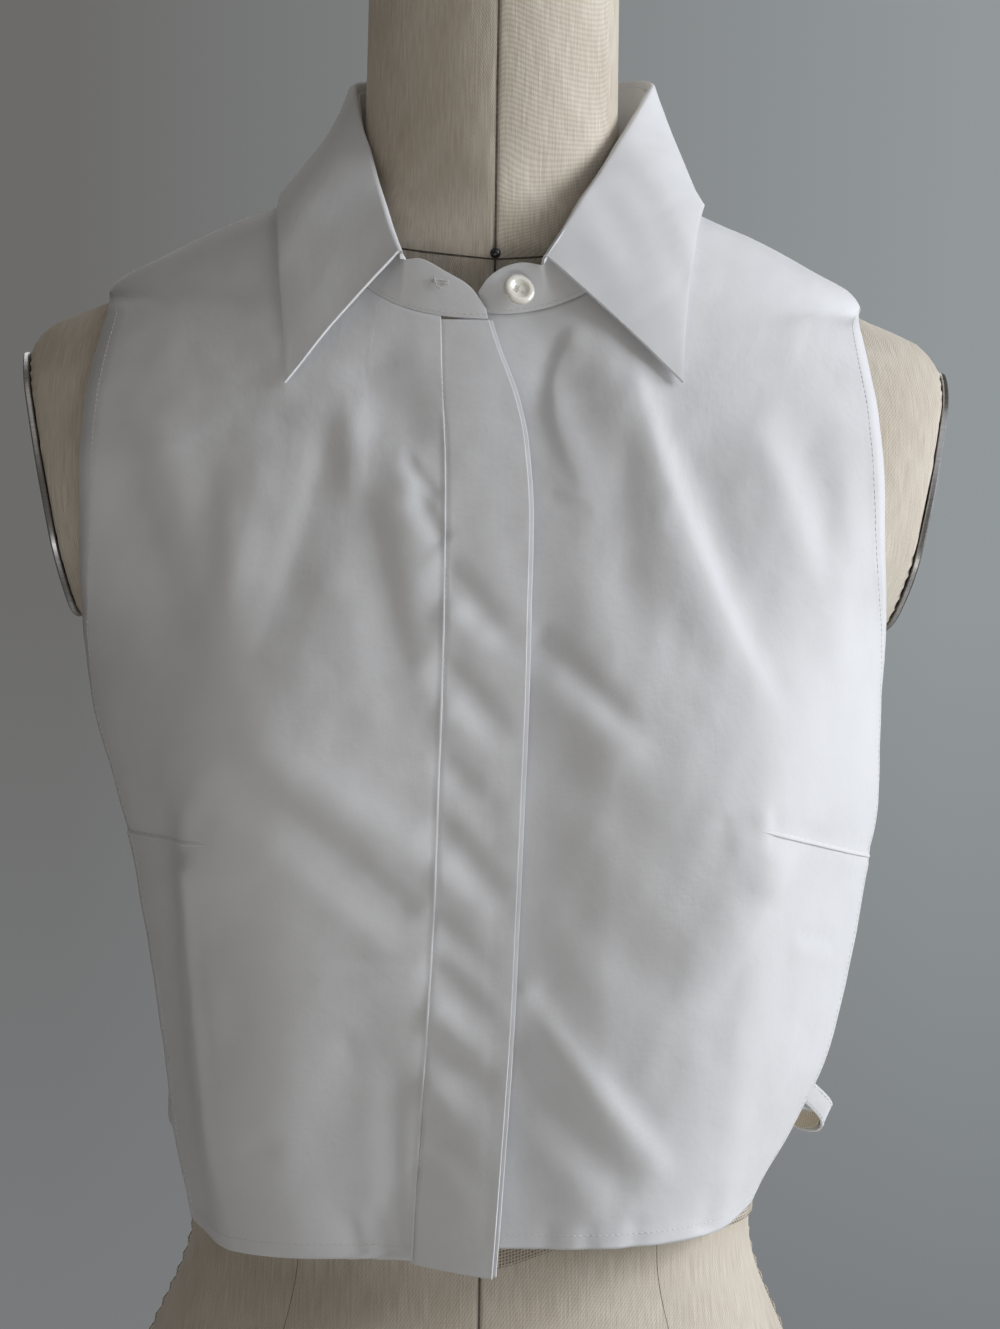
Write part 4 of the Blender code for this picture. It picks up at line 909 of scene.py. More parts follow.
def make_waist_tape():
    """The woven band round the waist, as warp and weft that stand over and under each other."""
    read = form_reader()
    columns, rows = 460, 12
    low, high = WAIST_Z - WAIST_TAPE_WIDTH / 2, WAIST_Z + WAIST_TAPE_WIDTH / 2
    grid = np.zeros((rows + 1, columns, 3))
    for j in range(rows + 1):
        z = low + (high - low) * j / rows
        for i in range(columns):
            lift = REST_GAP + WAIST_TAPE_WALL * (0.75 + 0.25 * (-1) ** (i + j))
            turn = 2 * math.pi * i / columns - math.pi
            away = abs(form_point(read, turn, z)[0])
            rise = TAPE_LIFT + TAPE_RISE * smooth_step(0, TAPE_RISE_X, away)
            grid[j, i] = form_point(read, turn, z + rise, lift)
    made = grid_object("woven_waist_tape", grid, open_tape(), 0.0006, closed=True)
    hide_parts("waist_tape")


def make_arm_plates():
    """Thin steel plates cut to the outline of the arm openings, a little proud of the linen."""
    read = form_reader()
    outline, back_edge = [], []
    for z in np.linspace(ARM_PLANE_FOOT_Z, SHOULDER_TIP_Z, 900):
        limit, wide, power = arm_plane_x(z), read["half_width"](z), read["power"](z)
        if limit < wide * 0.9995:
            share = (1 - (limit / wide) ** power) ** (1 / power)
            outline.append((limit, -read["front"](z) * share, z))
            back_edge.append((limit, read["back"](z) * share, z))
    ring = np.array(outline + back_edge[::-1])
    gone = np.concatenate([[0], np.cumsum(np.linalg.norm(np.diff(ring, axis=0), axis=1))])
    at = np.linspace(0, gone[-1], 2 * ARM_PLATE_STEPS)
    ring = np.stack([np.interp(at, gone, ring[:, i]) for i in range(3)], axis=1)
    middle = ring.mean(axis=0)
    out = np.array([1.0, 0.0, -ARM_PLANE_SLOPE])
    out /= np.linalg.norm(out)
    # How far out from the arm's plane, and how much of the way from the middle to the outline.
    profile = ((0.0006, 0.0), (0.0006, 0.985), (0.0010, 0.995), (0.0024, 0.995), (0.0030, 0.980),
               (0.0030, 0.0))
    for name, side in (("arm_plate_right", -1), ("arm_plate_left", 1)):
        rings = [
            middle + (ring - middle) * max(share, 0.001) + out * lift for lift, share in profile
        ]
        grid = np.array(rings) * [side, 1, 1]
        made = grid_object(f"steel_{name}", grid, steel(), closed=True)
        made.data.set_sharp_from_angle(angle=math.radians(30))
        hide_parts(name)


def make_neck_pin():
    read = form_reader()
    face = -read["front"](NECK_PIN_Z)
    shape = bmesh.new()
    bmesh.ops.create_uvsphere(shape, u_segments=28, v_segments=18, radius=NECK_PIN_HEAD / 2)
    head = Matrix.Translation((0, face - REST_GAP - NECK_PIN_HEAD / 2, NECK_PIN_Z))
    bmesh.ops.transform(shape, matrix=head, verts=shape.verts)
    needle = bmesh.ops.create_cone(
        shape, segments=10, radius1=0.00032, radius2=0.00032, depth=0.006
    )
    turn = Matrix.Translation((0, face + 0.0015, NECK_PIN_Z)) @ Matrix.Rotation(QUARTER, 4, "X")
    bmesh.ops.transform(shape, matrix=turn, verts=needle["verts"])
    mesh = bpy.data.meshes.new("ball_pin")
    shape.to_mesh(mesh)
    shape.free()
    mesh.shade_smooth()
    made = link(bpy.data.objects.new("ball_pin", mesh), dark_metal())
    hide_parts("neck_pin")


# --- threads ----------------------------------------------------------------------------------
def thread_object(name, runs, finish, sides=6):
    """Short round threads that taper into the cloth at both ends; runs are (points, radius)."""
    verts, faces = [], []
    for points, radius in runs:
        points = np.asarray(points, float)
        along_run = np.gradient(points, axis=0)
        along_run /= np.linalg.norm(along_run, axis=1, keepdims=True)
        upright = abs(along_run[0][2]) >= 0.8
        guide = np.array([1.0, 0.0, 0.0] if upright else [0.0, 0.0, 1.0])
        count = len(points)
        first = len(verts)
        for i, (point, run) in enumerate(zip(points, along_run)):
            a = np.cross(run, guide)
            a /= np.linalg.norm(a)
            b = np.cross(run, a)
            thick = radius * (0.45 if i in (0, count - 1) else 1.0)
            for k in range(sides):
                turn = 2 * math.pi * k / sides
                verts.append(tuple(point + thick * (a * math.cos(turn) + b * math.sin(turn))))
        for i in range(count - 1):
            for k in range(sides):
                a, b = first + i * sides + k, first + i * sides + (k + 1) % sides
                faces.append((a, b, b + sides, a + sides))
        faces.append(tuple(first + k for k in reversed(range(sides))))
        faces.append(tuple(first + (count - 1) * sides + k for k in range(sides)))
    mesh = bpy.data.meshes.new(name)
    mesh.from_pydata(verts, [], faces)
    shape = bmesh.new()
    shape.from_mesh(mesh)
    bmesh.ops.recalc_face_normals(shape, faces=shape.faces)
    shape.to_mesh(mesh)
    shape.free()
    mesh.shade_smooth()
    return link(bpy.data.objects.new(name, mesh), finish)


def stitches(points, normals, length=STITCH_LENGTH, pitch=STITCH_PITCH, radius=STITCH_RADIUS):
    """Runs of short stitches along a line of points, sunk at both ends."""
    points, normals = np.asarray(points, float), np.asarray(normals, float)
    gone = np.concatenate([[0], np.cumsum(np.linalg.norm(np.diff(points, axis=0), axis=1))])
    runs = []
    for k in range(int(gone[-1] / pitch)):
        at = k * pitch + np.linspace(0, length, 4)
        if at[-1] > gone[-1]:
            break
        place = np.stack([np.interp(at, gone, points[:, i]) for i in range(3)], axis=1)
        away = np.stack([np.interp(at, gone, normals[:, i]) for i in range(3)], axis=1)
        lift = radius * np.array([-0.3, 0.65, 0.65, -0.3])
        runs.append((place + away * lift[:, None], radius))
    return runs


def line_inside(grid, distance, edge):
    """Points and normals at a distance in from one edge of a grid: left, right, low or high."""
    axis = 1 if edge in ("left", "right") else 0
    backwards = edge in ("right", "high")
    normals = grid_normals(grid)
    if backwards:
        grid, normals = np.flip(grid, axis), np.flip(normals, axis)
    if axis == 0:
        grid, normals = grid.transpose(1, 0, 2), normals.transpose(1, 0, 2)
    gone = lengths_along(grid, 1)
    points, away = [], []
    for row, normal, lengths in zip(grid, normals, gone):
        points.append([np.interp(distance, lengths, row[:, i]) for i in range(3)])
        away.append([np.interp(distance, lengths, normal[:, i]) for i in range(3)])
    return np.array(points), np.array(away)


# --- the bib ----------------------------------------------------------------------------------
def clear_of(tree, grid, normals, lift, gap):
    """Cuts lift back where it would bring the cloth nearer to the linen than gap."""
    flat, away, wanted = grid.reshape(-1, 3), normals.reshape(-1, 3), lift.ravel().copy()
    for i, point in enumerate(flat):
        place = Vector(point + away[i] * wanted[i])
        near, normal, _, distance = tree.find_nearest(place)
        inside = (place - near).dot(normal) < 0
        room = -distance if inside else distance
        if room < gap:
            wanted[i] += gap - room
    return wanted.reshape(lift.shape)


def held_at_seams(us, vs, tip_share):
    """1 inside a panel, falling to 0 at its neck seam and its shoulder seam."""
    up = soft_step(0, 0.035, 1 - vs)[:, None]
    by_shoulder = vs[:, None] > tip_share - 0.02
    in_from_side = np.where(by_shoulder, soft_step(0, 0.06, 1 - us)[None, :], 1.0)
    return up * in_from_side


def front_parts(side, surface, centre_x, us, vs):
    """The (share, z) grid of one front; centre_x gives its centre edge at a height."""
    hem_centre, hem_side, neck = HEM_CENTRE_Z[side], HEM_SIDE_Z[side], NECK_FRONT_Z[side]
    first_angle = neck_angle(side, centre_x(neck))
    level = border_level(surface, hem_side, FRONT_TIP_SHARE)

    def hem(u):
        first = surface.share_at(centre_x(hem_centre), hem_centre)
        return (first + (1 - first) * u, hem_centre + (hem_side - hem_centre) * u**3)

    def top(u):
        turn, z = neck_turn(side, surface, first_angle + (QUARTER - first_angle) * u)
        return (turn / surface.edge_turn(z), z)

    def centre(v):
        z = hem_centre + (top(0.0)[1] - hem_centre) * v
        return (surface.share_at(centre_x(z), z), z)

    return patch(hem, top, centre, lambda v: (1.0, level(v)), us, vs)


def front_steps():
    us = crowded(FRONT_STEPS[0], [(0.0, 0.02, 1.0), (1.0, 0.055, 2.2)])
    vs = crowded(FRONT_STEPS[1], [(0.0, 0.02, 1.5), (0.365, 0.022, 4.0), (0.75, 0.02, 0.8)])
    return us, vs


def finished_panel(base, us, vs, creases, seed, tree, tip_share, darts=(), hems=("right", "low")):
    """Raises a panel's creases, hems and darts, and keeps it clear of the linen."""
    normals = grid_normals(base)
    x, z = base[..., 0], base[..., 2]
    lift = crease_field(creases, x, z) + rumple(x, z, seed)
    for dart in darts:
        lift += dart_relief(dart, x, z) + fullness(x, z)
    lift *= held_at_seams(us, vs, tip_share)
    across, up = lengths_along(base, 1), lengths_along(base, 0)
    edges = {"right": across[:, -1:] - across, "left": across, "low": up}
    for edge in hems:
        lift += hem_relief(edges[edge])
    lift = clear_of(tree, base, normals, lift, POPLIN + 0.0003)
    return base + normals * lift[..., None]


def make_right_front(tree):
    surface = front_surface(WEARERS_RIGHT)
    stitch = placket_line("stitch_x")
    us, vs = front_steps()
    shares = front_parts(WEARERS_RIGHT, surface, lambda z: JOIN - stitch(z), us, vs)
    base = np.array([[surface.at_share(s, z) for s, z in row] for row in shares])
    base = trim_shoulder(ease_shoulder(base, us, vs))
    darts = (DARTS[WEARERS_RIGHT],)
    grid = finished_panel(base, us, vs, RIGHT_CREASES, 11, tree, FRONT_TIP_SHARE, darts)
    lip = EDGE_LIP * (1 - soft_step(0, EDGE_LIP_WIDTH, lengths_along(grid, 1)))
    lip *= 1 - soft_step(STITCH_TOP_Z, STITCH_TOP_Z + 0.015, grid[..., 2])
    grid = grid + grid_normals(grid) * lip[..., None]
    made = grid_object("cloth_right_front", grid, poplin(), POPLIN)
    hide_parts("right_front")
    return made, grid


def make_left_front(tree):
    """The under layer: lower at the centre, where the other front crosses it."""
    surface = front_surface(WEARERS_LEFT)
    us, vs = front_steps()
    shares = front_parts(WEARERS_LEFT, surface, lambda z: LEFT_FRONT_CENTRE_X, us, vs)
    base = np.array([[left_front_point(surface, s * surface.edge_turn(z), z) for s, z in row]
                     for row in shares])
    base = trim_shoulder(ease_shoulder(base, us, vs))
    darts = (DARTS[WEARERS_LEFT],)
    grid = finished_panel(base, us, vs, LEFT_CREASES, 12, tree, FRONT_TIP_SHARE, darts)
    made = grid_object("cloth_left_front", grid, poplin(), POPLIN)
    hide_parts("left_front")
    return made, grid


def left_front_point(surface, turn, z):
    x = surface.point(turn, z)[0]
    lower = OVERLAP_DROP * (1 - smooth_step(OVERLAP_LOW_X, OVERLAP_FREE_X, x))
    return surface.point(turn, z, lower)


def ease_shoulder(grid, us, vs):
    """Rounds the ledge where a panel's side border turns from the arm edge to the shoulder seam."""
    hold = (soft_step(0.60, 0.70, vs) * soft_step(0, 0.06, 1 - vs))[:, None]
    hold = (hold * soft_step(0, 0.035, 1 - us)[None, :])[1:-1, :, None]
    for _ in range(SHOULDER_PASSES):
        middle = (grid[:-2] + grid[2:]) / 2
        grid[1:-1] += 0.5 * hold * (middle - grid[1:-1])
    return grid


def trim_shoulder(grid):
    """Holds the shoulder seam's edge off the ridge, where the front and the back meet."""
    y = grid[..., 1]
    side = np.where(y == 0, grid[..., 1].mean(), y)
    grid[..., 1] = np.copysign(np.maximum(np.abs(y), JOIN), side)
    return grid


def strip_grid(low_x, high_x, drop, foot_z, top_z, tuck=0.0):
    """Points across a strip of the placket, raised with the creases of the front it is sewn to.
    tuck is how far its first border goes down under that front."""
    surface = front_surface(WEARERS_RIGHT)
    rows = []
    for z in np.linspace(foot_z, top_z, STRIP_STEPS[1] + 1):
        first, last = low_x(z), high_x(z)
        xs = first + (last - first) * STRIP_SHARES
        flat = 1 - 0.6 * smooth_step(STITCH_TOP_Z, STITCH_TOP_Z + 0.015, z)
        drops = drop + tuck * flat * (1 - soft_step(0, 2 * TUCK_REACH, xs - first))
        rows.append([surface.point(surface.turn_at(-x, z), z, d) for x, d in zip(xs, drops)])
    base = np.array(rows)
    x, z = base[..., 0], base[..., 2]
    hold = soft_step(0, 0.010, top_z - z)
    lift = (crease_field(RIGHT_CREASES, x, z) + rumple(x, z, 11) + fullness(x, z)) * hold
    across = (x - x[:, :1]) / (x[:, -1:] - x[:, :1])
    lift += FOOT_TURN * across * (1 - soft_step(foot_z, FOOT_TURN_Z, z))
    grid = base + grid_normals(base) * lift[..., None]
    grid[..., 2] += FOOT_SLANT * (0.6 - across) * (1 - soft_step(foot_z, foot_z + FOOT_REACH, z))
    return grid


def make_placket():
    """The outer strip with its rounded fold, and the under strip whose fold shows past it."""
    stitch, edge = placket_line("stitch_x"), placket_line("edge_x")
    tucked = (0.0, PLACKET_FOOT_Z, PLACKET_TOP_Z, TUCK_DROP)
    outer = strip_grid(lambda z: stitch(z) - TUCK_REACH, edge, *tucked)
    made = grid_object("cloth_placket", outer, poplin(), STRIP, 0.00042)
    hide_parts("right_placket")
    under = strip_grid(
        lambda z: stitch(z) + 2 * SEAM,
        lambda z: edge(z) + UNDER_STRIP_REACH,
        UNDER_STRIP_DROP,
        PLACKET_FOOT_Z + SEAM,
        PLACKET_TOP_Z,
    )
    second = grid_object(
        "cloth_placket_under", under, poplin(), UNDER_STRIP, 0.00034
    )
    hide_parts("right_placket_under")
    return made, second, outer


def make_back(tree):
    sides = {side: Surface(BACK_ROWS, "edge_x", side, 1) for side in (-1, 1)}
    level = border_level(sides[1], BACK_HEM_Z, BACK_TIP_SHARE)
    us = crowded(BACK_STEPS[0], [(1.0, 0.055, 1.5)])
    vs = crowded(BACK_STEPS[1], [(0.0, 0.02, 1.0)])

    def top(u):
        turn, z = back_neck_turn(u)
        return (turn / sides[1].edge_turn(z), z)

    shares = patch(
        lambda u: (u, BACK_HEM_Z),
        top,
        lambda v: (0.0, BACK_HEM_Z + (BACK_NECK_Z - BACK_HEM_Z) * v),
        lambda v: (1.0, level(v)),
        us,
        vs,
    )
    rows = []
    for row in shares:
        left = [sides[-1].at_share(share, z) for share, z in reversed(row[1:])]
        rows.append(left + [sides[1].at_share(share, z) for share, z in row])
    both = np.concatenate([-us[:0:-1], us])
    base = trim_shoulder(ease_shoulder(np.array(rows), abs(both), vs))
    hems = ("left", "right", "low")
    grid = finished_panel(base, abs(both), vs, BACK_CREASES, 13, tree, BACK_TIP_SHARE, (), hems)
    made = grid_object("cloth_back", grid, poplin(), POPLIN)
    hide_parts("back")
    return made, grid


# --- the collar -------------------------------------------------------------------------------
def seam_point(side, position):
    """A point on the neck seam, from the front's centre (0) to the centre back (1)."""
    if position <= FRONT_SEAM_SHARE:
        surface = front_surface(side)
        turn, z = neck_turn(side, surface, QUARTER * position / FRONT_SEAM_SHARE)
        if side == WEARERS_LEFT:
            return left_front_point(surface, turn, z)
        return surface.point(turn, z)
    share = (1 - position) / (1 - FRONT_SEAM_SHARE)
    return Surface(BACK_ROWS, "edge_x", side, 1).point(*back_neck_turn(share))


def seam_position(side, x):
    """The position on the seam where it passes x, near the centre front."""
    return FRONT_SEAM_SHARE * neck_angle(side, x) / QUARTER


def collar_reader(side):
    """The collar table's columns as functions of the position on the seam."""
    columns = CollarRow._fields[1:]
    return {name: smooth_column(COLLAR_ROWS[side], name, "seam") for name in columns}


def fold_point(read, side, position):
    return (side * read["fold_x"](position), read["fold_y"](position), read["fold_z"](position))


def edge_point(read, side, position):
    return (side * read["edge_x"](position), read["edge_y"](position), read["edge_z"](position))


def fall_section(fold, edge, belly, steps):
    """Points from the lip inside the fold, round over it, and down the leaf to its edge."""
    fold, edge = np.array(fold), np.array(edge)
    out = np.array([edge[0] - fold[0], edge[1] - fold[1], 0.0])
    out /= np.linalg.norm(out)
    up = np.array([0.0, 0.0, 1.0])
    radius = ROLL_RADIUS
    centre = fold + out * radius - up * radius
    points = [fold - up * FOLD_LIP, fold - up * (FOLD_LIP + radius) / 2]
    slope = math.atan2(fold[2] - edge[2], math.hypot(edge[0] - fold[0], edge[1] - fold[1]))
    for k in range(8):
        turn = (QUARTER + slope) * k / 7
        points.append(centre - out * radius * math.cos(turn) + up * radius * math.sin(turn))
    start = points[-1]
    for t in np.linspace(0, 1, steps - len(points) + 2)[1:]:
        swell = belly * 4 * t * (1 - t)
        points.append(start + (edge - start) * t + out * swell)
    return points


def make_collar_fall():
    rows = []
    stations = crowded(FALL_STEPS[0], [(0.0, 0.05, 2.0)])
    for side in (WEARERS_RIGHT, WEARERS_LEFT):
        read = collar_reader(side)
        corner = COLLAR_ROWS[side][0].seam
        half = []
        for share in stations:
            position = corner + (1 - corner) * share
            fold, edge = fold_point(read, side, position), edge_point(read, side, position)
            half.append(fall_section(fold, edge, read["belly"](position), FALL_STEPS[1]))
        rows += half if side == WEARERS_RIGHT else list(reversed(half))[1:]
    grid = np.array(rows)
    lift = rumple(grid[..., 0] + grid[..., 1], grid[..., 2], 21, 0.00005, 0.02, 0.06)
    grid = grid + grid_normals(grid) * lift[..., None]
    made = grid_object("cloth_collar_fall", grid, poplin(), LEAF_WALL, 0.00050)
    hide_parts("collar_fall")
    return made, grid


def stand_section(seam, top, steps):
    length = math.dist(seam, top)
    foot = mix(seam, top, JOIN / length)
    return [mix(foot, top, k / steps) for k in range(steps + 1)]


def make_collar_stand():
    rows = []
    for side in (WEARERS_RIGHT, WEARERS_LEFT):
        read = collar_reader(side)
        corner = COLLAR_ROWS[side][0].seam
        ends = []
        for row in BAND_ROWS[side]:
            seam = seam_point(side, seam_position(side, side * row.seam_x))
            ends.append(seam + (row.top_x, row.top_y, row.top_z))
        x, y, z = fold_point(read, side, corner)
        ends.append(seam_point(side, corner) + (x, y, z - FOLD_LIP - JOIN))
        half = []
        for share in np.linspace(0, 1, 31)[:-1]:
            both = along(ends, share)
            half.append(stand_section(both[:3], both[3:], STAND_STEPS[1]))
        for share in np.linspace(0, 1, STAND_STEPS[0] + 1):
            position = corner + (1 - corner) * share
            x, y, z = fold_point(read, side, position)
            top = (x, y, z - FOLD_LIP - JOIN)
            half.append(stand_section(seam_point(side, position), top, STAND_STEPS[1]))
        rows += half if side == WEARERS_RIGHT else list(reversed(half))[1:]
    grid = np.array(rows)
    made = grid_object("cloth_collar_stand", grid, poplin(), STAND_WALL, 0.00045)
    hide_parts("collar_stand")
    return made, grid


# --- finishes ---------------------------------------------------------------------------------
class Finish:
    """A node material being put together round its one Principled shader."""

    def __init__(self, name, colour, roughness, **sockets):
        self.material = bpy.data.materials.new(name)
        self.material.use_nodes = True
        self.nodes = self.material.node_tree.nodes
        self.shader = self.nodes["Principled BSDF"]
        self.shader.inputs["Base Color"].default_value = (*colour, 1.0)
        self.shader.inputs["Roughness"].default_value = roughness
        for socket, value in sockets.items():
            title = socket.replace("_", " ").title().replace("Ior", "IOR")
            self.shader.inputs[title].default_value = value
        self.heights = []

    def add(self, kind, links=(), **settings):
        """A node; links maps its inputs to the sockets that feed them."""
        node = self.nodes.new(kind)
        for key, value in settings.items():
            if hasattr(node, key):
                setattr(node, key, value)
            else:
                node.inputs[key.replace("_", " ")].default_value = value
        for key, source in dict(links).items():
            self.material.node_tree.links.new(source, node.inputs[key])
        return node

    def places(self, weave=True):
        """The weave map in metres, or plain places in space in metres."""
        if weave:
            return self.add("ShaderNodeUVMap", uv_map="weave").outputs["UV"]
        return self.add("ShaderNodeTexCoord").outputs["Object"]

    def scaled(self, places, scale, turn=0.0):
        node = self.add("ShaderNodeMapping", {"Vector": places})
        node.inputs["Scale"].default_value = scale
        node.inputs["Rotation"].default_value = (0.0, 0.0, turn)
        return node.outputs["Vector"]

    def noise(self, places, scale, detail=3.0, roughness=0.55, distortion=0.0):
        node = self.add("ShaderNodeTexNoise", {"Vector": places}, Scale=scale, Detail=detail)
        node.inputs["Roughness"].default_value = roughness
        node.inputs["Distortion"].default_value = distortion
        return node.outputs["Fac"]

    def threads(self, places, pitch, turn=0.0, waver=0.0):
        """Fine parallel ribs this far apart."""
        turned = self.scaled(places, (1.0, 1.0, 1.0), turn)
        node = self.add("ShaderNodeTexWave", {"Vector": turned}, Scale=WAVE_PERIOD / pitch)
        node.inputs["Distortion"].default_value = waver
        node.inputs["Detail Scale"].default_value = 1.5
        return node.outputs["Fac"]

    def bump(self, height, distance, strength=1.0):
        self.heights.append((height, distance, strength))
        return self

    def tint(self, factor, dark, light, low=0.35, high=0.65):
        """Colours the base from dark to light as the factor goes from low to high."""
        ramp = self.add("ShaderNodeValToRGB", {"Fac": factor})
        first, last = ramp.color_ramp.elements
        first.position, last.position = low, high
        first.color, last.color = (*dark, 1.0), (*light, 1.0)
        return ramp.outputs["Color"]

    def done(self, colour=None):
        links = self.material.node_tree.links
        if colour is not None:
            links.new(colour, self.shader.inputs["Base Color"])
        normal = None
        for height, distance, strength in self.heights:
            sizes = {"Distance": distance, "Strength": strength}
            node = self.add("ShaderNodeBump", {"Height": height}, **sizes)
            if normal is not None:
                links.new(normal, node.inputs["Normal"])
            normal = node.outputs["Normal"]
        if normal is not None:
            links.new(normal, self.shader.inputs["Normal"])
        return self.material


@cache
def poplin():
    """White cotton poplin: a very fine even weave, pressed, with faint crinkles."""
    cloth = Finish(
        "white_cotton_poplin", POPLIN_COLOUR, 0.82, sheen_weight=0.12, sheen_roughness=0.5
    )
    cloth.shader.inputs["Specular IOR Level"].default_value = 0.25
    places = cloth.places()
    warp, weft = cloth.threads(places, 0.00042), cloth.threads(places, 0.00046, QUARTER)
    cloth.bump(warp, 0.00001).bump(weft, 0.00001)
    cloth.bump(cloth.noise(places, 95.0, 4.0, 0.6), 0.00020)
    cloth.bump(cloth.noise(places, 30.0, 3.0, 0.5), 0.0006)
    cloth.bump(cloth.noise(cloth.scaled(places, (900.0, 160.0, 1.0)), 1.0, 2.0), 0.00002)
    clouds = cloth.noise(places, 34.0, 3.0)
    return cloth.done(cloth.tint(clouds, POPLIN_SHADE, POPLIN_COLOUR))


@cache
def white_thread():
    thread = Finish("white_thread", (0.80, 0.80, 0.79), 0.7, sheen_weight=0.2)
    twist = thread.threads(thread.places(False), 0.0005, 0.8)
    # Darker in the grooves of the twist: painted shade.
    colour = thread.tint(twist, (0.70, 0.70, 0.69), (0.84, 0.84, 0.83))
    return thread.bump(twist, 0.00004).done(colour)


@cache
def linen():
    """Natural linen: a slanting twill with upright slubs, a little darkened in patches, with
    painted shade in the twill's hollows.
    """
    cloth = Finish("natural_linen", LINEN_COLOUR, 0.9, sheen_weight=0.08)
    cloth.shader.inputs["Specular IOR Level"].default_value = 0.2
    places = cloth.places()
    slant = cloth.threads(places, 0.00115, math.radians(33), 0.8)
    slubs = cloth.noise(cloth.scaled(places, (1500.0, 65.0, 1.0)), 1.0, 3.0, 0.6)
    weft = cloth.noise(cloth.scaled(places, (90.0, 1700.0, 1.0)), 1.0, 2.0, 0.5)
    clouds = cloth.noise(places, 14.0, 4.0, 0.6)
    cloth.bump(slant, 0.00007).bump(slubs, 0.00016).bump(weft, 0.00008)
    base = cloth.tint(slubs, LINEN_SHADE, LINEN_COLOUR, 0.30, 0.70)
    dust = cloth.tint(clouds, (0.86, 0.83, 0.79), (1.0, 1.0, 1.0), 0.30, 0.62)
    # Painted shade: the twill's hollows darkened.
    ribs = cloth.tint(slant, (0.90, 0.89, 0.87), (1.0, 1.0, 1.0), 0.2, 0.7)
    first = cloth.add("ShaderNodeMix", data_type="RGBA", blend_type="MULTIPLY")
    second = cloth.add("ShaderNodeMix", data_type="RGBA", blend_type="MULTIPLY")
    links = cloth.material.node_tree.links
    for node, a, b in ((first, base, dust), (second, first.outputs[2], ribs)):
        node.inputs[0].default_value = 1.0
        links.new(a, node.inputs[6])
        links.new(b, node.inputs[7])
    return cloth.done(second.outputs[2])


@cache
def painted_seam_shade():
    # Painted shade: the dark of the linen's seams and of the button's holes.
    seam = Finish("seam_shadow", (0.10, 0.085, 0.07), 0.95)
    grain = seam.noise(seam.places(False), 900.0, 2.0)
    return seam.bump(grain, 0.0001).done(seam.tint(grain, (0.07, 0.06, 0.05), (0.17, 0.145, 0.12)))


@cache
def linen_thread():
    thread = Finish("linen_thread", (0.66, 0.61, 0.53), 0.85)
    twist = thread.threads(thread.places(False), 0.0009, 0.7)
    # Darker in the grooves of the twist: painted shade.
    colour = thread.tint(twist, (0.50, 0.45, 0.38), (0.72, 0.67, 0.59))
    return thread.bump(twist, 0.0001).done(colour)


@cache
def open_tape():
    """An open weave: pale threads both ways, and painted shade for the holes between them."""
    tape = Finish("cotton_tape", (0.70, 0.62, 0.52), 0.9, sheen_weight=0.1)
    places = tape.places()
    warp, weft = tape.threads(places, 0.0013), tape.threads(places, 0.0013, QUARTER)
    both = tape.add("ShaderNodeMath", operation="MAXIMUM")
    for i, source in enumerate((warp, weft)):
        tape.material.node_tree.links.new(source, both.inputs[i])
    tape.bump(both.outputs[0], 0.0003)
    # Dark where neither thread stands: painted shade in the holes.
    return tape.done(tape.tint(both.outputs[0], (0.30, 0.26, 0.21), (0.72, 0.64, 0.54), 0.45, 0.8))


@cache
def dark_metal():
    metal = Finish("dark_metal", (0.045, 0.045, 0.05), 0.32, metallic=0.8)
    worn = metal.noise(metal.places(False), 700.0, 3.0)
    colour = metal.tint(worn, (0.03, 0.03, 0.035), (0.11, 0.11, 0.115))
    return metal.bump(worn, 0.00003).done(colour)


@cache
def steel():
    metal = Finish("brushed_steel", (0.52, 0.52, 0.53), 0.36, metallic=1.0)
    brushing = metal.noise(metal.scaled(metal.places(False), (60.0, 60.0, 2600.0)), 1.0, 2.0)
    metal.bump(brushing, 0.00004)
    return metal.done(metal.tint(brushing, (0.44, 0.44, 0.45), (0.58, 0.58, 0.59)))


@cache
def pearl():
    """A pearly shirt button: clouded, smooth, a little clear."""
    shell = Finish("pearl_button", (0.84, 0.83, 0.76), 0.22, coat_weight=0.6, coat_roughness=0.08)
    shell.shader.inputs["Subsurface Weight"].default_value = 0.12
    shell.shader.inputs["Subsurface Scale"].default_value = 0.002
    clouds = shell.noise(shell.places(False), 260.0, 3.0, 0.5, 1.2)
    shell.bump(clouds, 0.00003)
    return shell.done(shell.tint(clouds, (0.74, 0.72, 0.63), (0.90, 0.89, 0.84), 0.3, 0.7))


@cache
def elastic():
    band = Finish("tan_elastic", (0.52, 0.47, 0.39), 0.6)
    ribs = band.threads(band.places(), 0.0011)
    # Darker between the ribs: painted shade.
    return band.bump(ribs, 0.0001).done(band.tint(ribs, (0.44, 0.395, 0.32), (0.60, 0.55, 0.46)))


@cache
def pale_floor():
    floor = Finish("pale_floor", (0.62, 0.62, 0.61), 0.75)
    clouds = floor.noise(floor.places(False), 5.0, 3.0)
    return floor.done(floor.tint(clouds, (0.60, 0.60, 0.59), (0.64, 0.64, 0.63)))


# --- what holds and fastens -------------------------------------------------------------------
def turned_disc(profile, steps=56):
    """Closed mesh data of a profile of (radius, height) turned about Z; it runs top to bottom."""
    shape = bmesh.new()
    rings = []
    for radius, height in profile:
        turns = [2 * math.pi * k / steps for k in range(steps)]
        ring = [(radius * math.cos(t), radius * math.sin(t), height) for t in turns]
        rings.append([shape.verts.new(place) for place in ring])
    for upper, lower in zip(rings, rings[1:]):
        for k in range(steps):
            j = (k + 1) % steps
            shape.faces.new((upper[k], lower[k], lower[j], upper[j]))
    shape.faces.new(rings[0])
    shape.faces.new(list(reversed(rings[-1])))
    bmesh.ops.recalc_face_normals(shape, faces=shape.faces)
    return shape


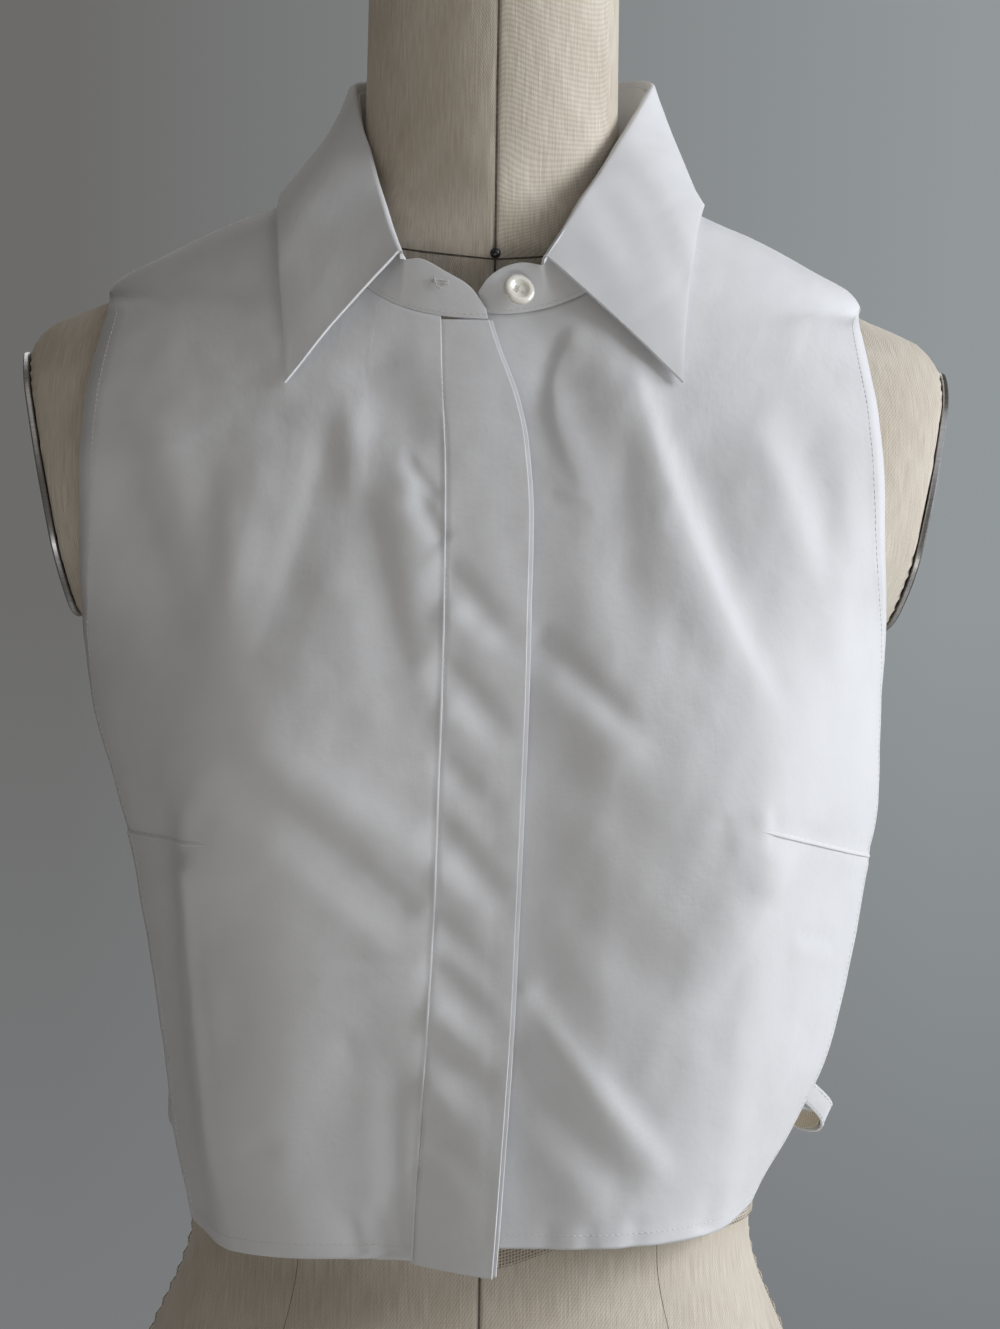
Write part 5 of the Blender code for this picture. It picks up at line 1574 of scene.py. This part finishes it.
def make_collar_button():
    """Four holes in a dished centre inside a rounded rim, with its thread; the holes are dark plugs
    of painted shade.
    """
    half, wall = BUTTON_SIZE / 2, BUTTON_WALL
    top = wall / 2
    profile = ((0.0002, top - 0.0010), (half * 0.48, top - 0.0009), (half * 0.58, top - 0.0002),
               (half * 0.70, top), (half * 0.88, top - 0.0002), (half * 0.97, top - 0.0006),
               (half, top - 0.0011), (half * 0.96, -top + 0.0004), (half * 0.84, -top),
               (0.0002, -top))
    shape = turned_disc(profile)
    mesh = bpy.data.meshes.new("shirt_button")
    shape.to_mesh(mesh)
    shape.free()
    mesh.shade_smooth()
    mesh.set_sharp_from_angle(angle=math.radians(55))
    made = link(bpy.data.objects.new("shirt_button", mesh), pearl())
    turn = Matrix.Rotation(BUTTON_TURN, 4, "Z") @ Matrix.Rotation(QUARTER - BUTTON_TILT, 4, "X")
    made.matrix_world = Matrix.Translation(BUTTON_PLACE) @ turn
    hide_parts("collar_button")
    runs = []
    reach = half * 0.20
    for x, y in ((-1, -1), (1, -1)):
        ends = [Vector((x * reach, y * reach, top - 0.0006)),
                Vector((x * reach * 0.4, 0.0, top - 0.0001)),
                Vector((-x * reach, -y * reach, top - 0.0006))]
        runs.append(([tuple(made.matrix_world @ end) for end in ends], 0.00022))
    # Dark plugs in the four holes: painted shade, since the holes are not cut.
    hole = []
    for x in (-1, 1):
        for y in (-1, 1):
            place = [Vector((x * reach, y * reach, top - drop)) for drop in (0.0011, 0.00085)]
            hole.append(([tuple(made.matrix_world @ p) for p in place], 0.00045))
    thread_object("button_thread", runs, white_thread(), 6)
    thread_object("button_hole_shade", hole, painted_seam_shade(), 8)


def make_buttonhole(stand):
    """A worked buttonhole near the band's outer end, with the loose tail of its thread."""
    flat = stand.reshape(-1, 3)
    away = np.hypot(flat[:, 0] - BUTTONHOLE_X, flat[:, 2] - BUTTONHOLE_Z) + 0.1 * (flat[:, 1] > 0)
    normal = grid_normals(stand).reshape(-1, 3)[away.argmin()]
    centre = np.array([BUTTONHOLE_X, flat[away.argmin()][1], BUTTONHOLE_Z])
    run = np.cross(normal, [0.12, 0.0, 1.0])
    run *= np.sign(run[0]) / np.linalg.norm(run)
    up = np.cross(run, normal)
    up *= np.sign(up[2])
    runs = []
    count = BUTTONHOLE_STITCHES
    for k in range(2 * count):
        foot = centre + run * BUTTONHOLE_LENGTH * ((k % count) / (count - 1) - 0.5)
        side = up if k < count else -up
        points = ((0.0001, 0.0001), (0.0005, 0.0003), (0.0011, -0.0001))
        runs.append((np.array([foot + side * a + normal * b for a, b in points]), 0.00018))
    tail = ((-0.0028, 0.0010), (-0.0016, -0.0004), (-0.0010, -0.0021), (0.0002, -0.0027),
            (0.0016, -0.0024))
    loose = np.array([centre + run * a + up * b + normal * 0.0006 for a, b in tail])
    runs.append((loose, 0.00030))
    runs.append((loose + normal * 0.0003 + up * 0.0003, 0.00022))
    return thread_object("buttonhole", runs, white_thread())


def strap_line(rows, side, steps=90):
    points = [(side * row.x, row.y, row.z) for row in rows]
    return np.array([along(points, k / steps) for k in range(steps + 1)])


def strap_grid(line, width, tips=None, inset=0.0):
    """A flat band along a line. It stands on edge, or leans along tips, the direction of its width;
    inset moves it inwards."""
    run = np.gradient(line, axis=0)
    if tips is None:
        tips = np.tile([0.0, 0.0, 1.0], (len(line), 1))
    tips = tips - run * ((tips * run).sum(axis=1) / (run * run).sum(axis=1))[:, None]
    tips /= np.linalg.norm(tips, axis=1, keepdims=True)
    away = np.cross(run, tips)
    away /= np.linalg.norm(away, axis=1, keepdims=True)
    away *= np.sign((away[0] * line[0] * [1, 1, 0]).sum())
    rows = []
    for share in np.linspace(-0.5, 0.5, 9):
        crown = 0.0003 * (1 - (2 * share) ** 2)
        rows.append(line + tips * width * share + away * (crown - inset))
    return np.array(rows)


def loop_line(steps=90):
    """The wearer's left strap: its line and the direction of its width, both smooth."""
    rows = [tuple(row) for row in LOOP_ROWS]
    found = np.array([along(rows, k / steps) for k in range(steps + 1)])
    return found[:, :3], found[:, 3:]


def make_straps():
    line, tips = loop_line()
    grids = {
        "side_strap_left": strap_grid(line, STRAP_WIDTH, tips),
        "side_strap_right": strap_grid(strap_line(RIGHT_STRAP, WEARERS_RIGHT), STRAP_WIDTH),
    }
    made = {}
    for name, grid in grids.items():
        made[name] = grid_object(f"cloth_{name}", grid, poplin(), STRIP, 0.0003)
        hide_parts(name)
        runs = []
        for share in (1, 7):
            normals = grid_normals(grid)[share]
            runs += stitches(grid[share], normals, radius=0.00012)
        thread_object(f"{name}_stitches", runs, white_thread())
    return made


def make_slider():
    """A small open frame of dark wire that holds the doubled strap, with its bar."""
    x, y, z = SLIDER_PLACE
    turn = Matrix.Translation((x, y, z)) @ Matrix.Rotation(SLIDER_TURN, 4, "Z")
    half_y, half_z, round_ = SLIDER_SIZE[1] / 2, SLIDER_SIZE[2] / 2, 0.0012
    corners = []
    for sy, sz, start in ((1, 1, 0), (-1, 1, 1), (-1, -1, 2), (1, -1, 3)):
        for k in range(5):
            t = QUARTER * (start + k / 4)
            corners.append((0.0, sy * (half_y - round_) + round_ * math.cos(t),
                            sz * (half_z - round_) + round_ * math.sin(t)))
    loop = corners + corners[:2]
    bar = [(0.0, 0.0, -half_z), (0.0, 0.0, 0.0), (0.0, 0.0, half_z)]
    runs = [([tuple(turn @ Vector(p)) for p in points], 0.00065) for points in (loop, bar)]
    made = thread_object("slider_frame", runs, dark_metal(), 10)
    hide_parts("strap_slider")
    return made


def make_loop_lining():
    """The tan elastic inside the wearer's left loop."""
    line, tips = loop_line()
    part = slice(18, 72)
    grid = strap_grid(line[part], STRAP_WIDTH * 0.72, tips[part], 0.0021)
    return grid_object("loop_elastic", grid, elastic(), 0.0007, 0.0002)


# --- darts ------------------------------------------------------------------------------------
# The ring of a dart's fold: across its line (up is positive) and out of the cloth, millimetres.
DART_RING = (
    (1.6, -0.20), (1.05, 0.18), (0.45, 0.56), (-0.05, 0.78), (-0.40, 0.66), (-0.60, 0.24),
    (-0.62, -0.20), (-0.10, -0.40), (0.90, -0.40),
)
DART_FOLD_STEPS, DART_FOLD_PASSES = 150, 6
DART_FOLD_START = -0.3  # of its length: from outside the panel, where there is nothing to hit


def make_dart_fold(name, dart, grid):
    """The sewn fold of a dart: a thin rounded ridge on its line, dying away at its tip."""
    rows, columns = grid.shape[:2]
    numbers = np.arange(rows * columns).reshape(rows, columns)
    corners = (numbers[:-1, :-1], numbers[:-1, 1:], numbers[1:, 1:], numbers[1:, :-1])
    faces = np.stack(corners, axis=-1).reshape(-1, 4)
    tree = BVHTree.FromPolygons(grid.reshape(-1, 3).tolist(), faces.tolist())
    places, away = [], []
    for t in np.linspace(DART_FOLD_START, 1.0, DART_FOLD_STEPS):
        x = dart.edge_x + (dart.tip_x - dart.edge_x) * t
        z = dart.edge_z + (dart.tip_z - dart.edge_z) * t
        hit, normal = tree.ray_cast(Vector((x * MM, -1.0, z * MM)), Vector((0, 1, 0)))[:2]
        if hit is not None:
            places.append(tuple(hit))
            away.append(tuple(normal if normal.y < 0 else -normal))
    places, away = np.array(places), np.array(away)
    for _ in range(DART_FOLD_PASSES):
        places[1:-1] = (places[:-2] + 2 * places[1:-1] + places[2:]) / 4
        away[1:-1] = (away[:-2] + 2 * away[1:-1] + away[2:]) / 4
    away /= np.linalg.norm(away, axis=1, keepdims=True)
    up = np.cross(away, np.gradient(places, axis=0))
    up /= np.linalg.norm(up, axis=1, keepdims=True)
    up *= np.sign(up[:, 2:])
    share = np.linspace(0, 1, len(places))
    size = (1 - 0.95 * soft_step(0.80, 1.0, share)) * (0.1 + 0.9 * soft_step(0.0, 0.012, share))
    ring = np.array(DART_RING) * MM
    sides = up[:, None] * ring[None, :, :1] + away[:, None] * ring[None, :, 1:]
    ridge = places[:, None] + sides * size[:, None, None]
    return grid_object(name, ridge, poplin(), closed=True)


# --- stitching --------------------------------------------------------------------------------
def stitch_panels(right, left, back, outer):
    runs = {"right_front": [], "left_front": [], "back": []}
    for name, grid, edges in (
        ("right_front", right, ("right", "low")),
        ("left_front", left, ("right", "low")),
        ("back", back, ("left", "right", "low")),
    ):
        for edge in edges:
            points, away = line_inside(grid, HEM_WIDTH - 0.0012, edge)
            keep = points[:, 2] < SHOULDER_TIP_Z - 0.004
            runs[name] += stitches(points[keep], away[keep])
    points, away = line_inside(outer, 0.0011, "left")
    made = {name: thread_object(f"{name}_stitches", found, white_thread())
            for name, found in runs.items()}
    made["placket"] = thread_object(
        "placket_stitches", stitches(points, away), white_thread()
    )
    return made


def stitch_stand(stand):
    """Along the foot of the band, on its outer side."""
    points, away = line_inside(stand, 0.0016, "left")
    return thread_object("band_stitches", stitches(points, away), white_thread())


# --- camera, light and floor ------------------------------------------------------------------
def look_along(place, forward, roll=0.0):
    """A matrix that looks along forward from place, turned clockwise by roll."""
    forward = Vector(forward).normalized()
    right = forward.cross(Vector((0, 0, 1))).normalized()
    up = right.cross(forward)
    turned_right = right * math.cos(roll) + up * math.sin(roll)
    turned_up = up * math.cos(roll) - right * math.sin(roll)
    matrix = Matrix((turned_right, turned_up, -forward)).transposed().to_4x4()
    matrix.translation = place
    return matrix


def add_camera():
    lens = bpy.data.cameras.new("camera")
    lens.lens, (lens.clip_start, lens.clip_end) = CAMERA_LENS, CAMERA_CLIP
    camera = bpy.data.objects.new("camera", lens)
    camera.matrix_world = look_along(CAMERA_PLACE, CAMERA_FORWARD, CAMERA_ROLL)
    bpy.context.scene.collection.objects.link(camera)
    bpy.context.scene.camera = camera


def add_light(name, azimuth, elevation, distance, size, power, colour):
    """A square soft light aimed at the chest; azimuth 0 is in front and grows towards +X."""
    azimuth, elevation = math.radians(azimuth), math.radians(elevation)
    flat = math.cos(elevation)
    away = Vector((math.sin(azimuth) * flat, -math.cos(azimuth) * flat, math.sin(elevation)))
    data = bpy.data.lights.new(name, "AREA")
    data.shape, data.size, data.energy, data.color = "SQUARE", size, power, colour
    light = bpy.data.objects.new(name, data)
    light.matrix_world = look_along(Vector(LIGHT_AIM) + away * distance, -away)
    bpy.context.scene.collection.objects.link(light)


def add_world():
    """An even dim surround for the light, and behind it a grey wall of painted light, brighter
    towards +X.
    """
    world = bpy.data.worlds.new("studio")
    world.use_nodes = True
    nodes, links = world.node_tree.nodes, world.node_tree.links
    nodes.clear()
    seen, unseen = nodes.new("ShaderNodeBackground"), nodes.new("ShaderNodeBackground")
    unseen.inputs["Color"].default_value = (*FILL_COLOUR, 1.0)
    unseen.inputs["Strength"].default_value = FILL_STRENGTH
    heading = nodes.new("ShaderNodeTexCoord")
    split = nodes.new("ShaderNodeSeparateXYZ")
    links.new(heading.outputs["Generated"], split.inputs[0])
    blend = nodes.new("ShaderNodeMix")
    blend.data_type = "RGBA"
    # Painted shade and painted light of the wall, for its upper and its lower part.
    walls = (
        (WALL_PAINTED_SHADE, WALL_PAINTED_LIGHT, blend.inputs[6]),
        (WALL_LOW_PAINTED_SHADE, WALL_LOW_PAINTED_LIGHT, blend.inputs[7]),
    )
    for dark, light, target in walls:
        spread, ramp = nodes.new("ShaderNodeMapRange"), nodes.new("ShaderNodeValToRGB")
        spread.inputs["From Min"].default_value = WALL_SPREAD[0]
        spread.inputs["From Max"].default_value = WALL_SPREAD[1]
        ramp.color_ramp.elements[0].color = (*dark, 1.0)
        ramp.color_ramp.elements[1].color = (*light, 1.0)
        links.new(split.outputs["X"], spread.inputs["Value"])
        links.new(spread.outputs["Result"], ramp.inputs["Fac"])
        links.new(ramp.outputs["Color"], target)
    lower = nodes.new("ShaderNodeMapRange")
    lower.inputs["From Min"].default_value = WALL_LOW[0]
    lower.inputs["From Max"].default_value = WALL_LOW[1]
    links.new(split.outputs["Z"], lower.inputs["Value"])
    links.new(lower.outputs["Result"], blend.inputs[0])
    links.new(blend.outputs[2], seen.inputs["Color"])
    path, mixed = nodes.new("ShaderNodeLightPath"), nodes.new("ShaderNodeMixShader")
    out = nodes.new("ShaderNodeOutputWorld")
    links.new(path.outputs["Is Camera Ray"], mixed.inputs[0])
    links.new(unseen.outputs[0], mixed.inputs[1])
    links.new(seen.outputs[0], mixed.inputs[2])
    links.new(mixed.outputs[0], out.inputs["Surface"])
    bpy.context.scene.world = world


def add_floor():
    shape = bmesh.new()
    bmesh.ops.create_circle(shape, cap_ends=True, segments=96, radius=0.75)
    mesh = bpy.data.meshes.new("floor")
    shape.to_mesh(mesh)
    shape.free()
    floor = bpy.data.objects.new("floor", mesh)
    floor.location = (0, 0, -0.0005)
    floor.data.materials.append(pale_floor())
    bpy.context.scene.collection.objects.link(floor)


def finish_cad_nodes():
    """Better finishes for the solids that stay as they are."""
    for name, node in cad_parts.items():
        if name.startswith("fly_button"):
            made = node if hasattr(node, "data") else bpy.data.objects[name]
            for slot in made.material_slots:
                slot.material = pearl()


# --- everything together ----------------------------------------------------------------------
add_camera()
torso = make_torso()
make_form_seams()
make_hip_whipstitch()
make_waist_tape()
make_neck_pin()
make_arm_plates()
bpy.context.view_layer.update()
linen_tree = BVHTree.FromObject(torso, bpy.context.evaluated_depsgraph_get())
right_front, right_grid = make_right_front(linen_tree)
left_front, left_grid = make_left_front(linen_tree)
placket, placket_under, placket_points = make_placket()
back, back_points = make_back(linen_tree)
stand, stand_points = make_collar_stand()
fall = make_collar_fall()[0]
right_dart = make_dart_fold("right_front_dart", DARTS[WEARERS_RIGHT], right_grid)
left_dart = make_dart_fold("left_front_dart", DARTS[WEARERS_LEFT], left_grid)
stitching = stitch_panels(right_grid, left_grid, back_points, placket_points)
band_stitching = stitch_stand(stand_points)
make_collar_button()
make_buttonhole(stand_points)
straps = make_straps()
make_slider()
make_loop_lining()
finish_cad_nodes()
add_floor()
for light_name, settings in LIGHTS.items():
    add_light(light_name, *settings)
add_world()
bpy.context.scene.view_settings.view_transform = "Standard"

for piece, flat, area, extra in (
    (right_front, (0.205, 0.432), 0.0625, [stitching["right_front"], right_dart]),
    (left_front, (0.240, 0.432), 0.0760, [stitching["left_front"], left_dart]),
    (placket, (0.031, 0.356), None, [stitching["placket"]]),
    (placket_under, (0.031, 0.355), None, []),
    (back, (0.390, 0.450), 0.1450, [stitching["back"]]),
    (stand, (0.040, 0.420), 0.0137, [band_stitching]),
    (fall, (0.075, 0.460), 0.0270, []),
    (straps["side_strap_left"], (0.010, 0.082), None, []),
    (straps["side_strap_right"], (0.010, 0.076), None, []),
):
    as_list(extra)
